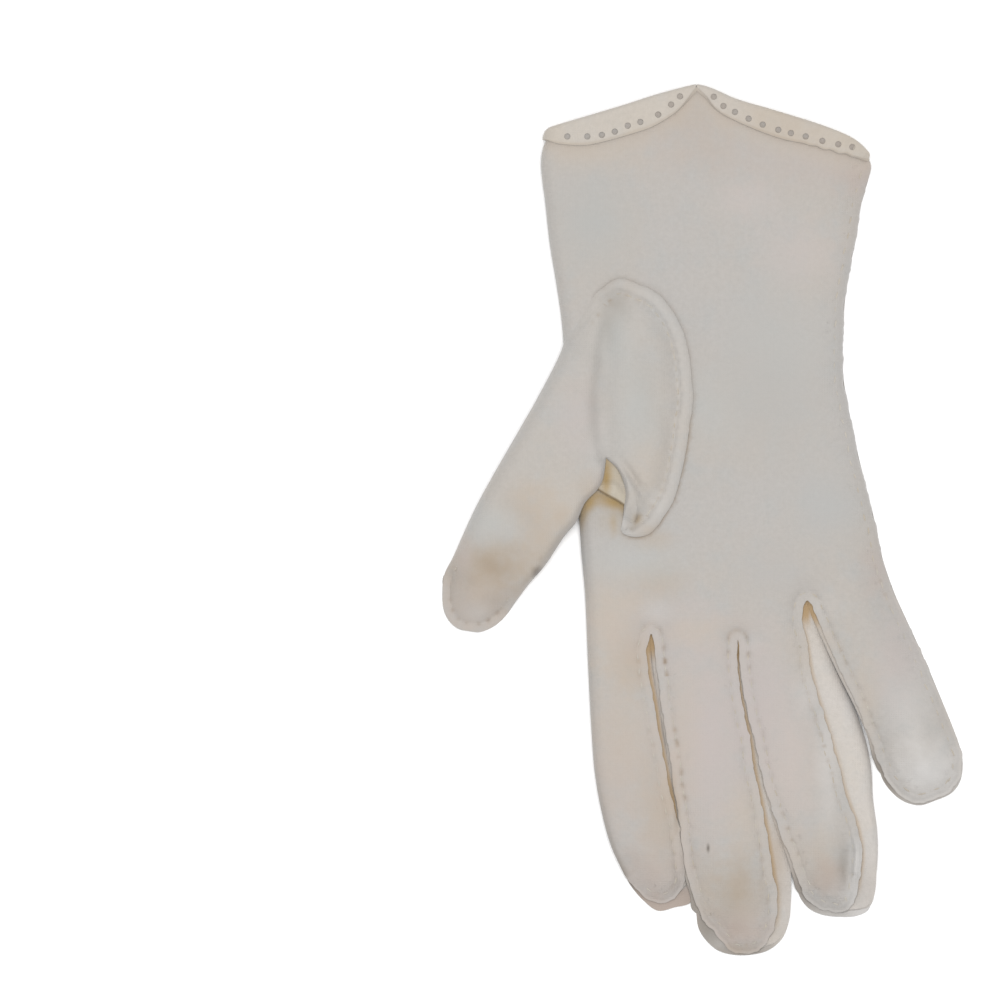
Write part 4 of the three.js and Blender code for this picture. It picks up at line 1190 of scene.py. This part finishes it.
def thumb_top(points):
    """Height of the thumb's outer face, as it is seen from above."""
    from_fold, fold = nearest(points, thumb_fold)
    from_gusset, gusset = nearest(points, gusset_fold)
    from_oval, oval = nearest(points, oval_line)
    from_valley, valley = nearest(points, valley_line)
    on_tube = points[:, 0] < valley[:, 0]
    dip = valley[:, 2] * bell(from_valley, np.where(on_tube, TO_TUBE, TO_GUSSET))
    full = carried(points, rows_of(THUMB_CREST), CREST_EVENNESS) - VALLEY_DEPTH * dip
    full += THUMB_WAVE * ripple(points, 24, 2.5)
    full += ROLLED_IN * (smooth(2, 8, gusset[:, -1]) * bell(from_gusset, ROLLED_WIDTH))
    full -= GROOVE_DEPTH * beside(points, groove_line, GROOVE_WIDTH)
    mid, seam, reach = fold[:, 2], fold[:, 3], fold[:, 4]
    rolled = mid + (full - mid) * rise(from_fold / reach, 2.8)
    width = NARROW + (TIP_SEAM - NARROW) * seam
    sewn = mid + (full - mid) * climb(from_fold, width, reach, 0.9)
    sewn += stitched_edge(from_fold, width, fold[:, -1])
    side = rolled + (sewn - rolled) * seam
    bed = palm_top(points) + CLOTH
    base = bed + FLANGE_GAP
    ridge, run = oval[:, 2], oval[:, -1]
    width = OVAL_SEAM * (0.4 + 0.6 * ridge)
    flange = base + (full - base) * climb(from_oval, width, FLANGE_SLOPE)
    flange += FLANGE_ROLL * ridge * roll(from_oval, width, 0.9)
    flange -= FLANGE_VALLEY * ridge * beat(run, OVAL_PITCH) * bell(from_oval - width, 0.6)
    curl = gusset[:, 2] + (full - gusset[:, 2]) * rise(from_gusset / CURL_REACH, 2)
    height = lower_of(lower_of(side, flange, 0.7), curl, 0.5) - beside(points, hook_line, HOOK_WIDTH)
    over_palm = inside(points, [palm_outline])
    height = np.where(over_palm, np.maximum(height, bed + 0.1), height)
    sewn_flat = (1 - smooth(0.15, 0.6, ridge)) * bell(from_oval, 1.6)
    height = np.where(over_palm, height - (CLOTH + 0.4) * sewn_flat, height)
    return np.where(from_fold < ON_LINE, mid, height)


def thumb_bottom(points):
    """Height of the thumb's outer face underneath."""
    from_fold, fold = nearest(points, thumb_fold)
    low = np.interp(points[:, :2] @ THUMB_AXIS, THUMB_LOW_AT, THUMB_LOW)
    height = low + (fold[:, 2] - low) * (1 - rise(from_fold / UNDER_TURN, 2.2))
    height = np.where(fold[:, 3] > 0.9, low + UNDER_RIM * bell(from_fold, 1.2), height)
    return np.where(from_fold < ON_LINE, fold[:, 2], height)


thumb_ring = np.vstack([thumb_fold[:, :2], gusset_fold[1:, :2], oval_line[1:-1, :2]])
upper, upper_faces = fill([thumb_ring], THUMB_ROWS, THUMB_GRAIN)
upper = np.column_stack([upper, thumb_top(upper)])
meets_at = np.argmin(np.hypot(thumb_fold[:, 0] - PALM_MEETS[0], thumb_fold[:, 1] - PALM_MEETS[1]))
clear_of_palm = thumb_fold[:meets_at, :2]
palm_side = fold_line[(fold_line[:, 1] > 1.0) & (fold_line[:, 1] < TUBE_TOP)][::-1][::3, :2] - (0.3, 0)
under_ring = np.vstack([clear_of_palm[clear_of_palm[:, 1] < TUBE_TOP], palm_side])
under, under_faces = fill([under_ring], UNDER_ROWS, UNDER_GRAIN)
under = np.column_stack([under, thumb_bottom(under)])
thumb = two_layers("thumb_cloth", (upper, upper_faces), (under, under_faces))
# Painted marks: the stitch holes get painted shade with some soil, the valley and the groove painted shade
# with a little soil, the hook's groove painted shade, and the oval's raised ridge a painted highlight
oval_dots = seam_shade_and_soil(upper, oval_line, OVAL_SEAM, OVAL_PITCH) * 0.8
tip_dots = seam_shade_and_soil(upper, thumb_fold, TIP_SEAM, STITCH_PITCH) * 0.7 * (upper[:, 1] < -8)
tell(thumb, "stitch_soil", np.maximum(oval_dots, tip_dots))
in_valley = beside(upper, valley_line, 2.6)
tell(thumb, "valley_soil", np.maximum(in_valley, 0.9 * beside(upper, groove_line, 0.8)))
tell(thumb, "hook_soil", beside(upper, hook_line, 0.6))
from_oval, oval = nearest(upper, oval_line)
raised = smooth(OVAL_SEAM + 0.3, OVAL_SEAM - 0.8, from_oval) * smooth(0.1, 0.5, from_oval)
tell(thumb, "raised", oval[:, 2] * raised)
welded(thumb)
# Among the thumb's patches, the ochre one and the faint soil one beside the gusset's hook are painted
# shade, the grey-soil ones painted shade with some soil, and the clean ones painted light; the dark one is
# a loose thread's end, and the rest are tones and stains of the cloth.
thicken(thumb, CLOTH, cotton(
    "ivory_thumb_cotton",
    cloth=(0.397, 0.379, 0.358),
    warm=(0.405, 0.371, 0.336),
    cool=(0.379, 0.373, 0.362),
    patches=(
        (-62, -23, 17, 15, PINK, 0.5), (-60, -18, 16, 16, PEACH_SHADE, 0.45),
        (-56.5, -12.5, 13, 8, SOIL_AND_SHADE, 0.75), (-44, -6, 9, 16, PEACH_SHADE, 0.55),
        (-27, 10, 4, 5, PINK, 0.5), (-40, 4, 12, 12, PEACH, 0.45), (-44.4, -14.6, 2, 2.4, DARK, 0.8),
        (-17.8, 0.2, 1.8, 2.2, OCHRE_SHADE, 0.4), (-16, 34, 6, 14, GREY_SHADE_AND_SOIL, 0.2),
        (-31, 8, 5, 6, PEACH_SHADE, 0.5), (-48, 3, 9, 10, PEACH_SHADE, 0.3), (-24, 50, 6, 12, COOL, 0.7),
        (-24, 59, 5.5, 6.5, GREY_SHADE_AND_SOIL, 0.36), (-14, -3, 7, 4, PEACH_SHADE, 0.6),
        (-34, 28, 8, 14, LILAC, 0.5), (-57, -1, 9, 7, COOL, 0.6), (-18, 31, 8, 16, COOL, 0.6),
        (-14.5, 12, 9, 11, PEACH, 0.4), (-19, 2, 5, 7, SOIL_AND_SHADE, 0.12), (-21.6, 0, 1.6, 4.5, PAINTED_LIGHT, 0.25),
        (-28, 21, 3.5, 9, PAINTED_LIGHT, 0.25), (-8.6, 31, 3, 10, PAINTED_LIGHT, 0.2), (-61, -25, 5, 4, PAINTED_LIGHT, 0.3),
        (-38.5, 1, 4, 4, PEACH_SHADE, 0.35), (-25.7, 51.5, 2.6, 6.5, GREY_SHADE_AND_SOIL, 0.25),
        (-12.7, 5.3, 3, 4, PAINTED_LIGHT, 0.3), (-64.5, -10, 3, 8, LILAC, 0.45),
    ),
    attribute_marks=(
        ("stitch_soil", BROWN_SHADE_AND_SOIL, 0.5), ("valley_soil", GREY_SHADE_AND_SOIL, 0.06), ("hook_soil", UMBER_SHADE, 0.42),
        ("raised", PAINTED_LIGHT, 0.12),
    ),
))
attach(thumb, "root")
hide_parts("thumb")

oval_seam = oval_line[oval_line[:, 2] > 0.8]
tip_seam = thumb_fold[thumb_fold[:, 3] > 0.6]
oval_stitches = stitches("thumb_oval_stitches", oval_seam, OVAL_SEAM, thumb_top, OVAL_PITCH, 9)
tip_stitches = stitches("thumb_tip_stitches", tip_seam, TIP_SEAM, thumb_top, STITCH_PITCH, 12)

# The inner fold of the gusset, which shows as a small yellowish triangle in the notch beside the tube.
# It is the same cotton, held by the folds round it; its yellowish colour, the ochre band along the tube's
# edge and the dark along its lower rim are painted shade.
NOTCH_FOLD = columns(
    "x y z",
    (-29.4, 8.8, 9.8), (-27, 7.2, 10.2), (-23.6, 5.4, 10.4), (-20.2, 3.6, 10.3), (-19.4, 8, 9.6),
    (-21, 12.5, 9), (-24.6, 18.5, 9.4), (-27.6, 17, 9.4), (-28.6, 12, 9),
)
NOTCH_ROWS = (0.2, 0.6, 1.2)
LOWER_RIM = 10.6  # how far along its rim the dark lower part ends
notch_ring = ring_of(NOTCH_FOLD, 0.8)
notch_points, notch_faces = fill([notch_ring], NOTCH_ROWS, 1.0)
from_rim, rim = nearest(notch_points, notch_ring)
notch_points = np.column_stack([notch_points, rim[:, 2] + 0.4 * smooth(0, 1.5, from_rim)])
notch = plain_mesh("thumb_notch_cloth", notch_points, notch_faces)
tell(notch, "lower_rim", smooth(0.65, 0.15, from_rim) * (rim[:, -1] < LOWER_RIM))
thicken(notch, CLOTH, cotton(
    "ochre_notch_cotton",
    cloth=(0.425, 0.381, 0.31),
    warm=(0.407, 0.336, 0.239),
    cool=(0.425, 0.389, 0.336),
    patches=((-26.2, 11.5, 2, 8, OCHRE_SHADE, 1),),
    attribute_marks=(("lower_rim", UMBER_SHADE, 0.8),),
))
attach(notch, "root")


# Turned-back cuff: two flaps, folded outward over the scalloped edge. One runs from the V in the middle of
# the palm round the thumb side and across the back, the other from the V to the outside seam.
FLAP_CLOTH = 0.8
FLAP_GAP = 0.12  # between a flap and the cloth that it lies on, outside and inside
FLAP_RETURN = 5.0  # the flap's cloth goes on this far inside the cuff
RETURN_ROWS, ROLL_ROWS, FLAP_ROWS = 4, 9, 17  # rows of points inside the cuff, round the fold and outside
V_GAP = 0.15  # half the gap between the flaps at the V
FLARE, FLARE_FROM = 0.35, 4  # the free edge stands off this much, this far from the folded side and on
LOWEST_FLAP = 0.05
FOLD_GUESS, FREE_GUESS = 105.0, 102.0  # where the fold and the free edge are looked for at first
LOOKS = 6
CORNER_ROUND = 1.0
HOLE_RADIUS = 0.85
HOLE_SIDES = 14
PUNCH_HEIGHT = 2.4 * FLAP_CLOTH
flap_material = cotton(
    "clean_cuff_cotton",
    cloth=(0.443, 0.405, 0.362),
    warm=(0.443, 0.396, 0.336),
    cool=(0.429, 0.403, 0.37),
    patches=((22, 106, 24, 12, PEACH_SHADE, 0.45),),
    attribute_marks=(("rim", BROWN_SHADE_AND_SOIL, 0.2),),
    nap=0.2,
)
FREE_EDGE_BACK = columns(
    "x y",
    (-50, 103), (-43, 102.8), (-38, 101), (-20, 102.6), (0, 105.4), (20, 101.2), (36, 98.6), (50, 97.2),
)
HOLES_THUMB = columns(
    "x y",
    (-36.7, 103.4), (-31.3, 103.4), (-27.4, 103.8), (-23.9, 104.7), (-20.4, 106.3), (-17, 107.3),
    (-12.2, 109.3), (-8.7, 112), (-6.3, 114.2),
)
HOLES_LITTLE = columns(
    "x y",
    (2.8, 114.1), (5.4, 111.6), (8.5, 110), (12.2, 108.2), (16, 106.6), (20.2, 105.2), (23.6, 104.3),
    (27.6, 103.4), (32.1, 102.2), (36.4, 101.3), (40.2, 100.6),
)

punch_group, given, result = node_group(
    "Geometry", "punched_holes",
    {"Geometry": "Geometry", "Places": "Object", "Radius": "Float", "Height": "Float",
     "Cotton": "Material"},
    {"Geometry": "Geometry"},
)
marks = node(punch_group, "GeometryNodeObjectInfo", Object=given["Places"]).outputs["Geometry"]
punch = node(punch_group, "GeometryNodeMeshCylinder", Vertices=HOLE_SIDES, Radius=given["Radius"],
             Depth=given["Height"]).outputs["Mesh"]
cut = node(punch_group, "GeometryNodeMeshBoolean", operation="DIFFERENCE", solver="EXACT",
           Mesh_1=given["Geometry"], Mesh_2=laid(punch_group, marks, punch))
coloured(punch_group, cut.outputs["Mesh"], given["Cotton"], result["Geometry"])


def punched_with(made, holes):
    """Punches a row of round holes through a flap's turned-back layer, not through the cuff under it."""
    places = rows_of(holes)
    level = palm_top(places) + FLAP_GAP + FLAP_CLOTH
    marked = plain_mesh("hole_places", np.column_stack([places, level]))
    grown(made, punch_group, Places=marked, Radius=HOLE_RADIUS * MM, Height=PUNCH_HEIGHT * MM,
          Cotton=flap_material)
    bpy.data.objects.remove(marked)
    made.data.set_sharp_from_angle(angle=SHARP_ANGLE)


def cuff_side(y, side):
    """Where the cuff's left or right edge is at each y."""
    return np.interp(y, PALM["y"][::-1], PALM[side][::-1])


def flap(name, cad_node, girth, free_edge, holes):
    """A flap from rows of (distance from the folded side, 1 on the palm or -1 on the back)."""
    run, face = girth[:, 0], girth[:, 1]
    fold_y, free_y = run * 0 + FOLD_GUESS, run * 0 + FREE_GUESS
    corner = CORNER_ROUND * (1 - np.sqrt(1 - (1 - np.clip(run / CORNER_ROUND, 0, 1)) ** 2))
    for _ in range(LOOKS):
        fold_y = curve_at(CUFF_FOLD, cuff_side(fold_y, "left") + run) - corner
        free_y = free_edge(cuff_side(free_y, "left") + run, face)
    inner, outer = CLOTH + FLAP_GAP + FLAP_CLOTH, FLAP_GAP + FLAP_CLOTH
    radius = (inner + outer) / 2
    room = np.minimum(fold_y - free_y, 2 * radius)[:, None] / (2 * radius)
    start = fold_y[:, None] - radius * room
    turn = np.linspace(-np.pi / 2, np.pi / 2, ROLL_ROWS)
    back_share = np.linspace(1, 0, RETURN_ROWS + 1)[:-1]
    down_share = np.linspace(0, 1, FLAP_ROWS + 1)[1:] ** 0.9
    ys = np.hstack([
        start - FLAP_RETURN * back_share,
        start + radius * room * np.cos(turn),
        start + (free_y[:, None] - start) * down_share,
    ])
    level = (outer - inner) / 2 + radius * np.sin(turn)
    lifts = np.concatenate([np.full(RETURN_ROWS, -inner), level, np.full(FLAP_ROWS, outer)])
    lifts = np.tile(lifts, (len(girth), 1))
    lifts[:, -FLAP_ROWS:] += FLARE * down_share ** 3 * smooth(0, FLARE_FROM, run)[:, None]
    xs = cuff_side(ys, "left") + run[:, None]
    flat = np.column_stack([xs.ravel(), ys.ravel()])
    zs = np.where(np.repeat(face > 0, ys.shape[1]), palm_top(flat), back_bottom(flat))
    base = np.dstack([xs, ys, zs.reshape(ys.shape)])
    across = np.gradient(base, axis=0)
    normal = np.cross(np.broadcast_to((0.0, 1.0, 0.0), across.shape), across)
    normal /= np.maximum(np.linalg.norm(normal, axis=2), 1e-9)[..., None]
    points = base + normal * lifts[..., None]
    points[..., 2] = np.maximum(points[..., 2], LOWEST_FLAP)
    made = plain_mesh(name, points.reshape(-1, 3), grid_faces(*ys.shape, lengthwise=True))
    # A thin band of painted shade along the flap's free edge, where it stands off the cloth under it
    tell(made, "rim", np.tile(np.append(np.zeros(ys.shape[1] - 3), (0.4, 1.0, 1.0)), len(girth)))
    thicken(made, FLAP_CLOTH, flap_material)
    punched_with(made, holes)
    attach(made, "root")
    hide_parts(cad_node)
    return made


def thumb_free_edge(x, face):
    """The free edge of the flap on the thumb side, on the palm or on the back."""
    return np.where(face > 0, curve_at(FREE_EDGE_THUMB, x), curve_at(FREE_EDGE_BACK, x))


WAVE_HEIGHT, WAVE_LENGTH, WAVE_AT = 0.25, 3.9, 33.3  # small waves of the free edge on the palm


def little_free_edge(x, face):
    """The free edge of the flap on the little-finger side, which is wavy near its outer end."""
    wavy = WAVE_HEIGHT * smooth(24, 33, x) * smooth(42, 38, x)
    return curve_at(FREE_EDGE_LITTLE, x) + wavy * np.sin(2 * np.pi * (x - WAVE_AT) / WAVE_LENGTH)


def faced(run, face):
    """Distances from the folded side on one face of the glove, as rows of a flap's girth."""
    return np.column_stack([run, np.full(len(run), face)])


SIDE_STEPS = (0, 0.01, 0.06, 0.16, 0.35, 0.6, 0.95, 1.4, 2.0)  # close rows round the folded side
STEP = 0.8
BACK_END = 84.5  # the flaps end at the outside seam, on the back and on the palm
PALM_END = 87.9
steps = np.append(SIDE_STEPS, np.arange(2.7, 90, STEP))
to_the_v = CUFF_V - cuff_side(FOLD_GUESS, "left")
palm_run = np.append(steps[steps < to_the_v - V_GAP], to_the_v - V_GAP)[::-1]
little_run = np.append(np.arange(to_the_v + V_GAP, PALM_END - 0.3, STEP), PALM_END)[::-1]
thumb_girth = np.vstack([faced(palm_run, 1), faced(steps[steps < BACK_END][1:], -1)])
little_girth = faced(little_run, 1)
thumb_side_flap = flap("thumb_side_flap_cloth", "cuff_flap_thumb_side", thumb_girth, thumb_free_edge,
                       HOLES_THUMB)
little_side_flap = flap("little_side_flap_cloth", "cuff_flap_little_finger_side", little_girth,
                        little_free_edge, HOLES_LITTLE)
